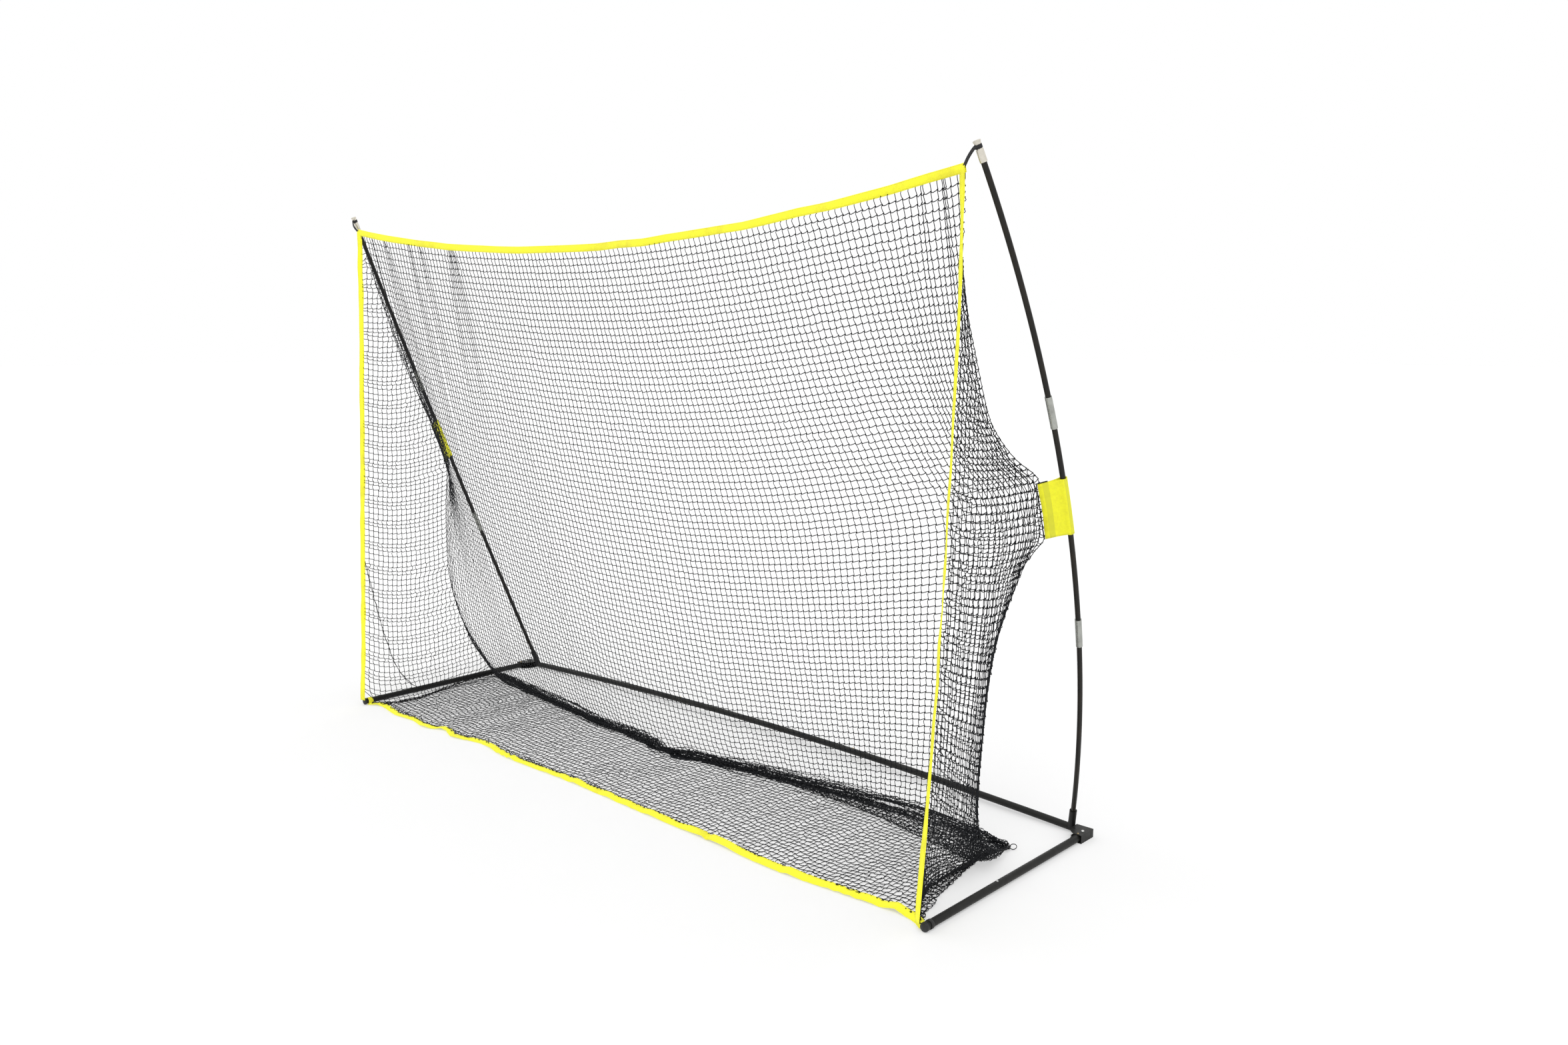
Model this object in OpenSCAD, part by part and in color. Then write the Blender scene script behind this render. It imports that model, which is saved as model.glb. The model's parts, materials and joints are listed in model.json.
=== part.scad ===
// Golf practice net: a folding floor frame, two bowed poles and a netting pocket with webbing borders.
// Millimetres, +Z up. The mouth faces -Y, the floor is z = 0 and the origin is under the middle of the box.
// Each piece is one module, drawn for the right-hand side where it comes in pairs and mirrored for the left.

/* [Frame] */
// Distance between the centre lines of the two side bars
frame_width = 3050; // [2400:10:3600]
// Reach of a side bar, from its fold pivot to the front of its end cap
bar_reach = 860; // [700:10:1100]
// Outer diameter of the rail and bar tubes
tube_od = 24; // [22:1:26]
// Wall thickness of the rail and bar tubes
tube_wall = 1.2; // [1:0.1:1.5]
// How far the middle of the loaded rear rail bows backwards
rail_bow_back = 50; // [10:5:100]
// How far the middle of the loaded rear rail lifts off the floor
rail_bow_up = 20; // [0:2:30]

/* [Poles] */
// Length of a pole along its axis, from the rail to the end of its tip
pole_length = 2247; // [1900:5:2500]
// Diameter of the fibreglass
pole_d = 16; // [14:0.5:16.5]
// Radius that the loaded pole bends to
pole_bend_r = 5560; // [4500:20:8000]
// Outer diameter of the ferrules and tips
ferrule_od = 20.5; // [19:0.5:23]
// Length of a ferrule
ferrule_length = 95; // [60:5:120]

/* [Netting] */
// Height of the net's top corners
corner_z = 2050; // [1900:5:2080]
// How far the top border sags at its middle
top_sag = 130; // [60:5:220]
// Width of the yellow border webbing
border_w = 25; // [20:1:35]
// Height of the yellow sleeves on the poles
sleeve_h = 165; // [120:5:200]
// Distance of a sleeve's sewn edge from the pole's axis
sleeve_reach = 70; // [55:5:95]

/* [Hidden] */

$fn = 48;
eps = 0.05;                      // overreach of a cutting shape
run_gap = 0.05;                  // radial clearance of a pin or button in its hole
slip_gap = 0.15;                 // radial clearance of a spigot in a tube

// Where the frame stands
front_reach = 438.6;             // front of the netting, forward of the middle of the bars
pivot_x = frame_width / 2;
tube_r = tube_od / 2;
bore_r = tube_r - tube_wall;

// Corner bracket: two plates and an outer web
plate_t = 1.5;
plate_gap = tube_od + 1;
axis_z = plate_t + plate_gap / 2;
bracket_round = 38;              // radius of the plates' inner front corner about the pivot
bracket_in = 43;                 // reach of the plates inwards of the pivot
bracket_back = 39;               // reach of the plates behind the pivot
web_in = 15.5;                   // inner face of the web, outwards of the pivot
lock_offset = 30;                // from the pivot to the lock holes
pivot_r = 3;
lock_r = 3;

// Rear rail: one shallow arc, bowed backwards and a little upwards, in three sections
rail_behind = 27;                // rail axis behind the pivots, at their x
rail_half = pivot_x + 12;        // half length of the rail
rail_bow = norm([rail_bow_back, rail_bow_up]);
rail_tilt = atan2(rail_bow_up, rail_bow_back);
rail_r = (pivot_x * pivot_x + rail_bow * rail_bow) / (2 * rail_bow);
// forward shift that centres the whole box on the origin
y_balance = (bar_reach / 2 + rail_behind + rail_bow_back + tube_r - front_reach) / 2;
pivot_y = bar_reach / 2 - y_balance;
rail_y = pivot_y + rail_behind;
rail_joint = 455;                // seams on each side of the middle
rail_button_x = 492;
rail_button_lean = 45;           // the rail's buttons face up and back
rail_fn = 1440;

// Snap joints
spigot_r = bore_r - slip_gap;
spigot_wall = 1.1;
spigot_past = 52;                // spigot length past its button
bar_joint = 457;                 // seam, forward of the pivot
bar_button_at = 497;             // button, forward of the pivot
bar_tail = 7;                    // tube behind the pivot
snap_r = 4;
button_proud = 2;
flange_t = 1.5;
spring_w = 7;

// Poles: foot on the rail, lean of the base, direction of the bend
foot_x = pivot_x - 59;
pole_lean = 20.8;
pole_lean_dir = -49.5;
pole_bend_dir = -104.5;
socket_top = 72;                 // along the pole's axis from the rail's axis
socket_r = 12;
pole_start = 17;
pole_r = pole_d / 2;
lower_joint = 767;
upper_joint = 1487;
tip_length = 56;
tip_waist = 36;                  // start of the waist, above the tip's lower end
waist_r = 8.6;
sleeve_s = 1190;                 // middle of the sleeve along the pole
sleeve_t = 1.2;
sleeve_dir = [-0.65, -0.76, 0];  // from the pole towards the net

// Netting outline
net_t = 3;
corner_x = 1543;
corner_y = -330 - y_balance;
front_z = 45;                    // lower end of the side borders
front_x = 1521;
front_y = -437 - y_balance;
hem_z = 62;                      // the panels below this give way to a folding bar
fold_z = 26;
webbing_t = 1.6;
// Rear creases of the side panels, from the top down: height, distance from the middle, y before balancing
CREASE_RIGHT = [
    [2040, 1536, -325], [1860, 1524, -315], [1690, 1514, -275], [1570, 1513, -235], [1405, 1514, -173],
    [1290, 1528, -85], [1215, 1568, 12], [1040, 1564, 68], [943, 1536, -20], [820, 1520, -71],
    [690, 1510, -118], [550, 1506, -150], [370, 1502, -155], [220, 1494, -122], [hem_z, 1450, 60], [0, 1400, 200]
];
CREASE_LEFT = [
    [2040, 1536, -325], [1860, 1506, -296], [1690, 1468, -258], [1560, 1462, -212], [1440, 1492, -142],
    [1330, 1530, -88], [1255, 1554, -35], [1212, 1568, 22], [1040, 1564, 68], [943, 1536, 40],
    [750, 1530, 48], [540, 1530, 62], [375, 1528, 92], [148, 1520, 180], [hem_z, 1512, 222], [0, 1500, 262]
];

// ---------- helpers ----------

function deg_of(length, radius) = length / radius * 180 / PI;
function turn_z(v, a) = [v.x * cos(a) - v.y * sin(a), v.x * sin(a) + v.y * cos(a), v.z];
function turn_y(v, a) = [v.x * cos(a) + v.z * sin(a), v.y, v.z * cos(a) - v.x * sin(a)];
function mix(a, b, t) = a + (b - a) * t;

// Point of the rail's axis at a distance x from the middle
function rail_point(x) =
    let (out = rail_bow - rail_r * (1 - cos(asin(x / rail_r))))
    [x, rail_y + out * cos(rail_tilt), axis_z + out * sin(rail_tilt)];
foot = rail_point(foot_x);

function pole_turn(v) = turn_z(turn_y(turn_z(v, pole_bend_dir), pole_lean), pole_lean_dir);
function pole_point(s) =
    let (a = deg_of(s, pole_bend_r))
    foot + pole_turn([pole_bend_r * (1 - cos(a)), 0, pole_bend_r * sin(a)]);

function seam_at(table, z, i = 0) =
    i >= len(table) - 2 || z >= table[i + 1][0]
        ? let (a = table[i], b = table[i + 1], t = (a[0] - z) / (a[0] - b[0]))
          [mix(a[1], b[1], t), mix(a[2], b[2], t) - y_balance, z]
        : seam_at(table, z, i + 1);

function border_top(x) = corner_z - top_sag * (1 - pow(x / corner_x, 2));
function side_front(z) =
    let (t = pow(1 - (z - front_z) / (corner_z - front_z), 1.4))
    [mix(corner_x, front_x, t), mix(corner_y, front_y, t), z];
function back_middle(z) = mix(corner_y, 105 - y_balance, pow(max(0, 1 - z / (corner_z - top_sag)), 1.25));
function back_point(u, z) =
    let (s = seam_at(u < 0 ? CREASE_LEFT : CREASE_RIGHT, z), m = back_middle(z))
    [u * s.x, mix(m, s.y, pow(abs(u), 3)), z];
function fold_line(u) = [u * (u < 0 ? 1495 : 1395), 100 + (u < 0 ? 155 : 100) * u * u - y_balance, 0];
function hem_line(x) = -402 - y_balance - 30 * pow(abs(x) / front_x, 8);

module left_or_right(side) {
    if (side > 0) children();
    else mirror([1, 0, 0]) children();
}

// A closed skin over a grid of points, with its second face moved by the vector v
module skin(grid, v) {
    rows = len(grid);
    cols = len(grid[0]);
    count = rows * cols;
    inward = cross(grid[0][1] - grid[0][0], grid[1][0] - grid[0][0]) * v < 0;
    points = concat([for (r = grid) each r], [for (r = grid) each [for (p = r) p + v]]);
    faces = concat(
        [for (i = [0 : rows - 2], j = [0 : cols - 2]) each let (a = i * cols + j)
            [[a, a + 1, a + cols + 1], [a, a + cols + 1, a + cols]]],
        [for (i = [0 : rows - 2], j = [0 : cols - 2]) each let (a = count + i * cols + j)
            [[a, a + cols + 1, a + 1], [a, a + cols, a + cols + 1]]],
        [for (j = [0 : cols - 2]) each let (a = j, b = (rows - 1) * cols + j)
            [[a, a + count, a + 1 + count], [a, a + 1 + count, a + 1],
             [b, b + 1 + count, b + count], [b, b + 1, b + 1 + count]]],
        [for (i = [0 : rows - 2]) each let (a = i * cols, b = i * cols + cols - 1)
            [[a, a + cols + count, a + count], [a, a + cols, a + cols + count],
             [b, b + count, b + cols + count], [b, b + cols + count, b + cols]]]
    );
    polyhedron(points, inward ? [for (f = faces) [f[2], f[1], f[0]]] : faces, convexity = 6);
}

// Frames of reference
module at_rail(x) {
    translate(rail_point(x)) rotate([rail_tilt, 0, 0]) rotate([0, 0, -asin(x / rail_r)])
        rotate([-rail_tilt, 0, 0]) children();
}

module at_pole(s) {
    translate(foot) rotate([0, 0, pole_lean_dir]) rotate([0, pole_lean, 0]) rotate([0, 0, pole_bend_dir])
        translate([pole_bend_r, 0, 0]) rotate([0, deg_of(s, pole_bend_r), 0])
        translate([-pole_bend_r, 0, 0]) children();
}

module at_pivot() {
    translate([pivot_x, pivot_y, axis_z]) children();
}

// A tube lying along +Y from a to b
module tube_y(a, b, outer, inner) {
    translate([0, a, 0]) rotate([-90, 0, 0]) difference() {
        cylinder(h = b - a, r = outer);
        translate([0, 0, -eps]) cylinder(h = b - a + 2 * eps, r = inner);
    }
}

module rail_arc(x1, x2, outer, inner = 0) {
    translate([0, rail_y, axis_z]) rotate([rail_tilt, 0, 0]) translate([0, rail_bow - rail_r, 0])
        rotate([0, 0, 90 - asin(x2 / rail_r)])
        rotate_extrude(angle = asin(x2 / rail_r) - asin(x1 / rail_r), $fn = rail_fn)
        translate([rail_r, 0]) difference() {
            circle(r = outer, $fn = 48);
            if (inner > 0) circle(r = inner, $fn = 48);
        }
}

// A stretch of something round that follows the pole's bend
module pole_arc(s1, s2, outer, inner = 0) {
    translate(foot) rotate([0, 0, pole_lean_dir]) rotate([0, pole_lean, 0]) rotate([0, 0, pole_bend_dir])
        translate([pole_bend_r, 0, 0]) rotate([90, 0, 180]) rotate([0, 0, deg_of(s1, pole_bend_r)])
        rotate_extrude(angle = deg_of(s2 - s1, pole_bend_r), $fn = 720)
        translate([pole_bend_r, 0]) difference() {
            circle(r = outer, $fn = 40);
            if (inner > 0) circle(r = inner, $fn = 40);
        }
}

// Height of a button's shoulder: its flange lies under the bore
function shoulder(radius, bore) = sqrt(bore * bore - pow(radius + 1, 2)) - 0.1;

// Spring button: flange, shank and domed head that stands proud of the height "top"
module button(radius, bore, top) {
    low = shoulder(radius, bore);
    head = top + button_proud;
    rotate_extrude() union() {
        translate([0, low - flange_t]) square([radius + 1, flange_t]);
        intersection() {
            translate([0, low - eps]) square([radius, head - low + eps]);
            translate([0, head - 2.2 * radius]) circle(r = 2.2 * radius, $fn = 96);
        }
    }
}

// V spring: one leg flat under the button's flange, the other along the far side of the bore
module v_spring(radius, bore) {
    top = shoulder(radius, bore) - flange_t - 0.05;
    low = 0.8 - bore;
    rotate([90, 0, 90]) translate([0, 0, -spring_w / 2]) linear_extrude(spring_w) polygon([
        [8, top], [-8, top], [-40, 1.8], [-43.5, 1], [-44.5, 0], [-43.5, -1], [-40, -1.8], [6, low],
        [6, low + 0.9], [-39.7, -0.9], [-42.3, -0.4], [-42.9, 0], [-42.3, 0.4], [-39.7, 0.9],
        [-8, top - 0.9], [8, top - 0.9]
    ]);
}

// ---------- floor frame ----------

module rail_section_outer() {
    color("#2b2c2d") difference() {
        rail_arc(rail_joint, rail_half, tube_r, bore_r);
        at_rail(rail_button_x) rotate([-rail_button_lean, 0, 0]) cylinder(h = 30, r = snap_r + run_gap);
    }
}

// Centre section: its ends are drawn down to spigots that slide into the outer sections
module rail_centre() {
    tip = rail_button_x + spigot_past;
    color("#2b2c2d") difference() {
        union() {
            rail_arc(-rail_joint, rail_joint, tube_r);
            rail_arc(-tip, tip, spigot_r);
        }
        rail_arc(-tip - 1, tip + 1, spigot_r - spigot_wall);
        for (side = [-1, 1]) left_or_right(side)
            at_rail(rail_button_x) rotate([-rail_button_lean, 0, 0]) cylinder(h = 30, r = snap_r + run_gap);
    }
}

module rail_button() {
    color("#c9a24a") at_rail(rail_button_x) rotate([-rail_button_lean, 0, 0])
        button(snap_r, spigot_r - spigot_wall, tube_r);
}

module rail_spring() {
    color("silver") at_rail(rail_button_x) rotate([-rail_button_lean, 0, 0]) rotate([0, 0, 90])
        v_spring(snap_r, spigot_r - spigot_wall);
}

module bracket_plate() {
    difference() {
        union() {
            intersection() {
                cylinder(h = plate_t, r = bracket_round, $fn = 96);
                translate([-bracket_round, -bracket_round, 0])
                    cube([bracket_round, bracket_round + 1, plate_t]);
            }
            translate([-eps, -bracket_round, 0])
                cube([web_in + plate_t + eps, bracket_round + bracket_back, plate_t]);
            translate([-bracket_in, 0, 0]) cube([bracket_in, bracket_back, plate_t]);
        }
        translate([0, 0, -eps]) cylinder(h = plate_t + 2 * eps, r = pivot_r);
    }
}

module corner_bracket() {
    color("#3a3b38") difference() {
        union() {
            at_pivot() {
                translate([0, 0, -axis_z]) bracket_plate();
                difference() {
                    translate([0, 0, plate_gap / 2]) bracket_plate();
                    for (a = [180, 270]) rotate([0, 0, a]) translate([lock_offset, 0, 0])
                        cylinder(h = axis_z + 5, r = lock_r + run_gap);
                }
                translate([web_in, -bracket_round, -axis_z])
                    cube([plate_t, bracket_round + bracket_back, 2 * axis_z]);
            }
            // saddle welded between the plates, round the end of the rail
            intersection() {
                rail_arc(pivot_x - 36, pivot_x - 6, axis_z + 1);
                at_pivot() translate([-60, 0, -plate_gap / 2]) cube([80, 60, plate_gap]);
            }
        }
        rail_arc(pivot_x - 60, pivot_x + 14, tube_r + 0.02);
    }
}

module pivot_rivet() {
    color("#d8d8d4") at_pivot() {
        translate([0, 0, 0.3 - axis_z]) cylinder(h = 2 * axis_z - 0.2, r = pivot_r - 0.02);
        translate([0, 0, axis_z + 0.02]) rotate_extrude() intersection() {
            square([5.3, 2.6]);
            translate([0, -4.4]) circle(r = 7, $fn = 96);
        }
    }
}

module side_bar_rear() {
    color("#2b2c2d") at_pivot() difference() {
        union() {
            tube_y(-bar_joint, bar_tail, tube_r, bore_r);
            tube_y(-bar_button_at - spigot_past, -bar_joint + 30, spigot_r, spigot_r - spigot_wall);
            tube_y(-bar_joint + 20, -bar_joint + 30, bore_r + 0.3, spigot_r - spigot_wall);
        }
        translate([0, 0, -20]) cylinder(h = 40, r = pivot_r + run_gap);
        translate([0, -lock_offset, 0]) cylinder(h = 20, r = lock_r + run_gap);
        translate([0, -bar_button_at, 0]) cylinder(h = 20, r = snap_r + run_gap);
    }
}

module side_bar_front() {
    color("#2b2c2d") at_pivot() difference() {
        tube_y(12 - bar_reach, -bar_joint, tube_r, bore_r);
        translate([0, -bar_button_at, 0]) cylinder(h = 20, r = snap_r + run_gap);
    }
}

module end_cap() {
    cap_r = axis_z;
    color("#1d1e1f") at_pivot() translate([0, 12 - bar_reach, 0]) rotate([90, 0, 0]) rotate_extrude() {
        intersection() {
            square([cap_r, 12]);
            translate([0, 12 - 2 * cap_r]) circle(r = 2 * cap_r, $fn = 120);
            translate([cap_r - 7, 5]) union() {
                circle(r = 7);
                translate([-cap_r, -7]) square([cap_r, 14]);
                translate([-cap_r, -7]) square([cap_r + 7, 7]);
            }
        }
        translate([0, -22]) square([bore_r - 0.05, 22 + eps]);
    }
}

module bar_button() {
    color("#d8d8d4") at_pivot() translate([0, -bar_button_at, 0])
        button(snap_r, spigot_r - spigot_wall, tube_r);
}

module bar_spring() {
    color("silver") at_pivot() translate([0, -bar_button_at, 0]) v_spring(snap_r, spigot_r - spigot_wall);
}

module fold_lock_button() {
    color("#c9a24a") at_pivot() translate([0, -lock_offset, 0]) button(lock_r, bore_r, axis_z);
}

module lock_spring() {
    color("silver") at_pivot() translate([0, -lock_offset, 0]) v_spring(lock_r, bore_r);
}

// ---------- poles ----------

module pole_socket() {
    color("#26272a") difference() {
        at_pole(socket_top / 2) translate([0, 0, -socket_top / 2]) cylinder(h = socket_top, r = socket_r);
        at_pole(socket_top / 2) translate([0, 0, pole_start - 1 - socket_top / 2])
            cylinder(h = socket_top, r = pole_r + 0.15);
        at_rail(foot_x) rotate([0, 90, 0]) translate([0, 0, -40]) cylinder(h = 80, r = tube_r + 0.03);
    }
}

module pole_section(s1, s2) {
    color("#17130f") pole_arc(s1 + 0.1, s2 - 0.1, pole_r);
}

module ferrule(s) {
    color("#c9cac6") pole_arc(s - ferrule_length / 2, s + ferrule_length / 2, ferrule_od / 2, pole_r + 0.03);
}

// Tip: a short tube over the pole's end, with a waist for the strap under its flared mouth
module pole_tip() {
    outer = ferrule_od / 2;
    color("#cfcabb") at_pole(pole_length - tip_length) rotate_extrude() difference() {
        polygon([
            [0, 0], [outer, 0], [outer, tip_waist - 4], [waist_r, tip_waist], [waist_r, tip_waist + 10],
            [outer + 0.4, tip_length - 2], [outer + 0.4, tip_length], [0, tip_length]
        ]);
        translate([0, -eps]) square([pole_r + 0.1, 28 + eps]);
        polygon([
            [0, tip_length - 7], [waist_r - 1.2, tip_length - 7], [outer - 0.8, tip_length + eps],
            [0, tip_length + eps]
        ]);
    }
}

// Sleeve: a fabric tube round the pole with a flat tab that reaches the net
module pole_sleeve() {
    low = sleeve_s - sleeve_h / 2;
    top = pole_point(low + sleeve_h);
    bottom = pole_point(low);
    inner = ferrule_od / 2 + 0.3;
    color("#e6ee1c") difference() {
        union() {
            pole_arc(low, low + sleeve_h, inner + sleeve_t);
            multmatrix([
                [1, 0, (top.x - bottom.x) / (top.z - bottom.z), bottom.x],
                [0, 1, (top.y - bottom.y) / (top.z - bottom.z), bottom.y],
                [0, 0, 1, bottom.z]
            ]) linear_extrude(top.z - bottom.z - 4) rotate(atan2(sleeve_dir.y, sleeve_dir.x))
                translate([0, -sleeve_t]) square([sleeve_reach, 2 * sleeve_t]);
        }
        pole_arc(low - 6, low + sleeve_h + 6, inner);
    }
}

// ---------- webbing ----------

// A flat strap through a list of points: its width lies along w and its thickness along t
module strap(path, w, t) {
    skin([for (p = path) [p - w / 2, p + w / 2]], t);
}

module tip_strap() {
    at = pole_point(pole_length - tip_length + tip_waist + 5);
    from = [corner_x - 4, corner_y - 3.2, corner_z - 4];
    color("#161616") {
        // collar round the tip's waist
        at_pole(pole_length - tip_length) translate([0, 0, tip_waist]) difference() {
            translate([0, 0, 0.4]) cylinder(h = 9.2, r = waist_r + 2.6);
            cylinder(h = 10, r = waist_r + 0.1);
        }
        strap([from, mix(from, at, 0.5) + [2, -12, 0], at + [2, -waist_r - 2.1, 0]],
            [7, 0, -7], [0, -1.2, 0]);
    }
}

module corner_loop() {
    y = -bar_reach + 24;
    color("#161616") at_pivot() {
        tube_y(y, y + 12, tube_r + 1.4, tube_r + 0.15);
        translate([-2, y, tube_r + 0.8]) cube([1.4, 12, 17]);
    }
}

module top_border() {
    steps = 40;
    color("#e6ee1c") skin([for (i = [0 : steps])
        let (x = mix(-corner_x, corner_x, i / steps), z = border_top(x))
        [[x, corner_y, z - border_w], [x, corner_y, z]]], [0, -webbing_t, 0]);
}

module border_side() {
    steps = 24;
    color("#e6ee1c") skin([for (i = [0 : steps])
        let (p = side_front(mix(front_z, corner_z - border_w - 7, i / steps)))
        [[p.x - border_w, p.y, p.z], [p.x, p.y, p.z]]], [0, -webbing_t, 0]);
}

module bottom_border() {
    steps = 40;
    x_end = front_x - 30;
    color("#e6ee1c") skin([for (i = [0 : steps])
        let (x = mix(-x_end, x_end, i / steps), y = hem_line(x))
        [[x, y, 0.4], [x, y + border_w, 0.4]]], [0, 0, webbing_t]);
}

// ---------- netting ----------

module net_back() {
    cols = 28;
    rows = 20;
    color("#16181a") skin([for (i = [0 : rows]) [for (j = [0 : cols])
        let (u = mix(-1, 1, j / cols),
             x_top = u * corner_x,
             z = mix(hem_z, border_top(x_top) - border_w - 2, i / rows))
        back_point(u * 0.998, z)]], [0, net_t, 0]);
}

module net_side(crease) {
    cols = 6;
    rows = 30;
    color("#16181a") skin([for (i = [0 : rows])
        let (z = mix(hem_z, corner_z - 2 * border_w, i / rows), a = side_front(z), b = seam_at(crease, z))
        [for (j = [0 : cols]) mix(a + [0, 2, 0], b - [0, 1, 0], j / cols)]], [net_t, 0, 0]);
}

// Floor panel with the low walls that join it to the other panels, each clear of the next
module net_floor() {
    cols = 28;
    color("#16181a") {
        skin([for (i = [0, 1]) [for (j = [0 : cols])
            let (u = mix(-0.99, 0.99, j / cols), f = fold_line(u))
            i == 0 ? [f.x, hem_line(f.x) + border_w + 1, 0.4] : [f.x, f.y - 3, 0.4]]], [0, 0, 2]);
        skin([for (i = [0, 1]) [for (j = [0 : cols])
            let (u = mix(-0.98, 0.98, j / cols))
            i == 0 ? fold_line(u) + [0, 0, 0.5] : back_point(u, hem_z - 1)]], [0, 2, 0]);
        for (side = [-1, 1]) left_or_right(side)
            skin([for (i = [0, 1]) [for (j = [0 : 8])
                let (a = side_front(hem_z), b = seam_at(side < 0 ? CREASE_LEFT : CREASE_RIGHT, hem_z - 1),
                     f = fold_line(side), t = 0.97 * j / 8,
                     g = [f.x * side, hem_line(1400) + border_w + 2, 0])
                i == 0 ? mix(g, [f.x * side, f.y, 0], t) + [1, 0, 0.5] : mix(a + [-2, 6, -2], b, t)]], [2, 0, 0]);
    }
}

// Loose netting heaped along the floor in front of the back panel
module net_fold() {
    stations = 28;
    sides = 8;
    wide = 34;
    color("#101214") {
        ring = [for (i = [0 : stations])
            let (u = mix(-0.95, 0.95, i / stations), f = fold_line(u),
                 lean = (f.y - back_point(u, hem_z).y) * (fold_z + 3) / hem_z)
            [for (j = [0 : sides - 1]) let (a = 180 * j / (sides - 1))
                f + [0, wide * cos(a) - wide - max(0, lean) - 6, 3 + fold_z * sin(a)]]];
        points = [for (r = ring) each r];
        polyhedron(points, concat(
            [for (i = [0 : stations - 1], j = [0 : sides - 1]) each
                let (a = i * sides + j, b = i * sides + (j + 1) % sides)
                [[a, a + sides, b + sides], [a, b + sides, b]]],
            [[for (j = [0 : sides - 1]) j]],
            [[for (j = [sides - 1 : -1 : 0]) stations * sides + j]]
        ), convexity = 6);
    }
}

// ---------- assembly ----------

rail_centre();
left_or_right(-1) rail_section_outer();  // rail_left
left_or_right(1) rail_section_outer();  // rail_right
left_or_right(-1) rail_spring();  // rail_spring_left
left_or_right(1) rail_spring();  // rail_spring_right
left_or_right(-1) rail_button();  // rail_button_left
left_or_right(1) rail_button();  // rail_button_right
left_or_right(-1) corner_bracket();  // corner_bracket_left
left_or_right(1) corner_bracket();  // corner_bracket_right
left_or_right(-1) pivot_rivet();  // pivot_rivet_left
left_or_right(1) pivot_rivet();  // pivot_rivet_right
left_or_right(-1) side_bar_rear();  // side_bar_rear_left
left_or_right(1) side_bar_rear();  // side_bar_rear_right
left_or_right(-1) side_bar_front();  // side_bar_front_left
left_or_right(1) side_bar_front();  // side_bar_front_right
left_or_right(-1) end_cap();  // end_cap_left
left_or_right(1) end_cap();  // end_cap_right
left_or_right(-1) bar_spring();  // bar_spring_left
left_or_right(1) bar_spring();  // bar_spring_right
left_or_right(-1) bar_button();  // bar_button_left
left_or_right(1) bar_button();  // bar_button_right
left_or_right(-1) lock_spring();  // lock_spring_left
left_or_right(1) lock_spring();  // lock_spring_right
left_or_right(-1) fold_lock_button();  // fold_lock_button_left
left_or_right(1) fold_lock_button();  // fold_lock_button_right
left_or_right(-1) pole_socket();  // pole_socket_left
left_or_right(1) pole_socket();  // pole_socket_right
left_or_right(-1) pole_section(pole_start, lower_joint);  // pole_lower_left
left_or_right(1) pole_section(pole_start, lower_joint);  // pole_lower_right
left_or_right(-1) pole_section(lower_joint, upper_joint);  // pole_middle_left
left_or_right(1) pole_section(lower_joint, upper_joint);  // pole_middle_right
left_or_right(-1) pole_section(upper_joint, pole_length - tip_length + 28);  // pole_upper_left
left_or_right(1) pole_section(upper_joint, pole_length - tip_length + 28);  // pole_upper_right
left_or_right(-1) ferrule(lower_joint);  // lower_ferrule_left
left_or_right(1) ferrule(lower_joint);  // lower_ferrule_right
left_or_right(-1) ferrule(upper_joint);  // upper_ferrule_left
left_or_right(1) ferrule(upper_joint);  // upper_ferrule_right
left_or_right(-1) pole_tip();  // pole_tip_left
left_or_right(1) pole_tip();  // pole_tip_right
left_or_right(-1) pole_sleeve();  // pole_sleeve_left
left_or_right(1) pole_sleeve();  // pole_sleeve_right
left_or_right(-1) tip_strap();  // tip_strap_left
left_or_right(1) tip_strap();  // tip_strap_right
left_or_right(-1) corner_loop();  // corner_loop_left
left_or_right(1) corner_loop();  // corner_loop_right
top_border();
bottom_border();
left_or_right(-1) border_side();  // border_left
left_or_right(1) border_side();  // border_right
net_back();
left_or_right(-1) net_side(CREASE_LEFT);  // net_side_left
left_or_right(1) net_side(CREASE_RIGHT);  // net_side_right
net_floor();
net_fold();
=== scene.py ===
import json
import math

import bpy
import numpy as np
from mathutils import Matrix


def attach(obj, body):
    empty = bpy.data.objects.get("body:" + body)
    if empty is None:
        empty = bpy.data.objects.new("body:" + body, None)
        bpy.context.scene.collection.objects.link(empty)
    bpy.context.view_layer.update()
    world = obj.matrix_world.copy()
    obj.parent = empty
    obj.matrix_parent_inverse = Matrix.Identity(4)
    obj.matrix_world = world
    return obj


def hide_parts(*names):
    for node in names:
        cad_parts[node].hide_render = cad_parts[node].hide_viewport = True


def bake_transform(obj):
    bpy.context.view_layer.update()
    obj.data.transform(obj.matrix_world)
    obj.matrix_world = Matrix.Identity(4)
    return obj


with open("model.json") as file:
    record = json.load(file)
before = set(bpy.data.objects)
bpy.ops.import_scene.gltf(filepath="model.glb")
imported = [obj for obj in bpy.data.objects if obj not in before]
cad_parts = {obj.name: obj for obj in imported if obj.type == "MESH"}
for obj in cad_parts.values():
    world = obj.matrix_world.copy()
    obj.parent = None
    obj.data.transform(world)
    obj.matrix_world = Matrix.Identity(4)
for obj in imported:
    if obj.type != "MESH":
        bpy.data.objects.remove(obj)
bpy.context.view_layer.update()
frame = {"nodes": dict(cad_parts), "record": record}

# ---------------------------------------------------------------- sizes, in metres, in the row frame
SHIFT_Y = -0.0402            # the frame's middle lies this far in front of the middle of the side bars
BAR_X = 1.525                # side bar axis
BAR_Z = 0.014
PIVOT_Y = 0.43 + SHIFT_Y
CORNER = np.array([1.543, -0.330 + SHIFT_Y, 2.050])      # net's top corner
TOP_SAG = 0.130
BORDER_W = 0.025
FRONT_FOOT = np.array([1.521, -0.437 + SHIFT_Y, 0.045])
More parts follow.
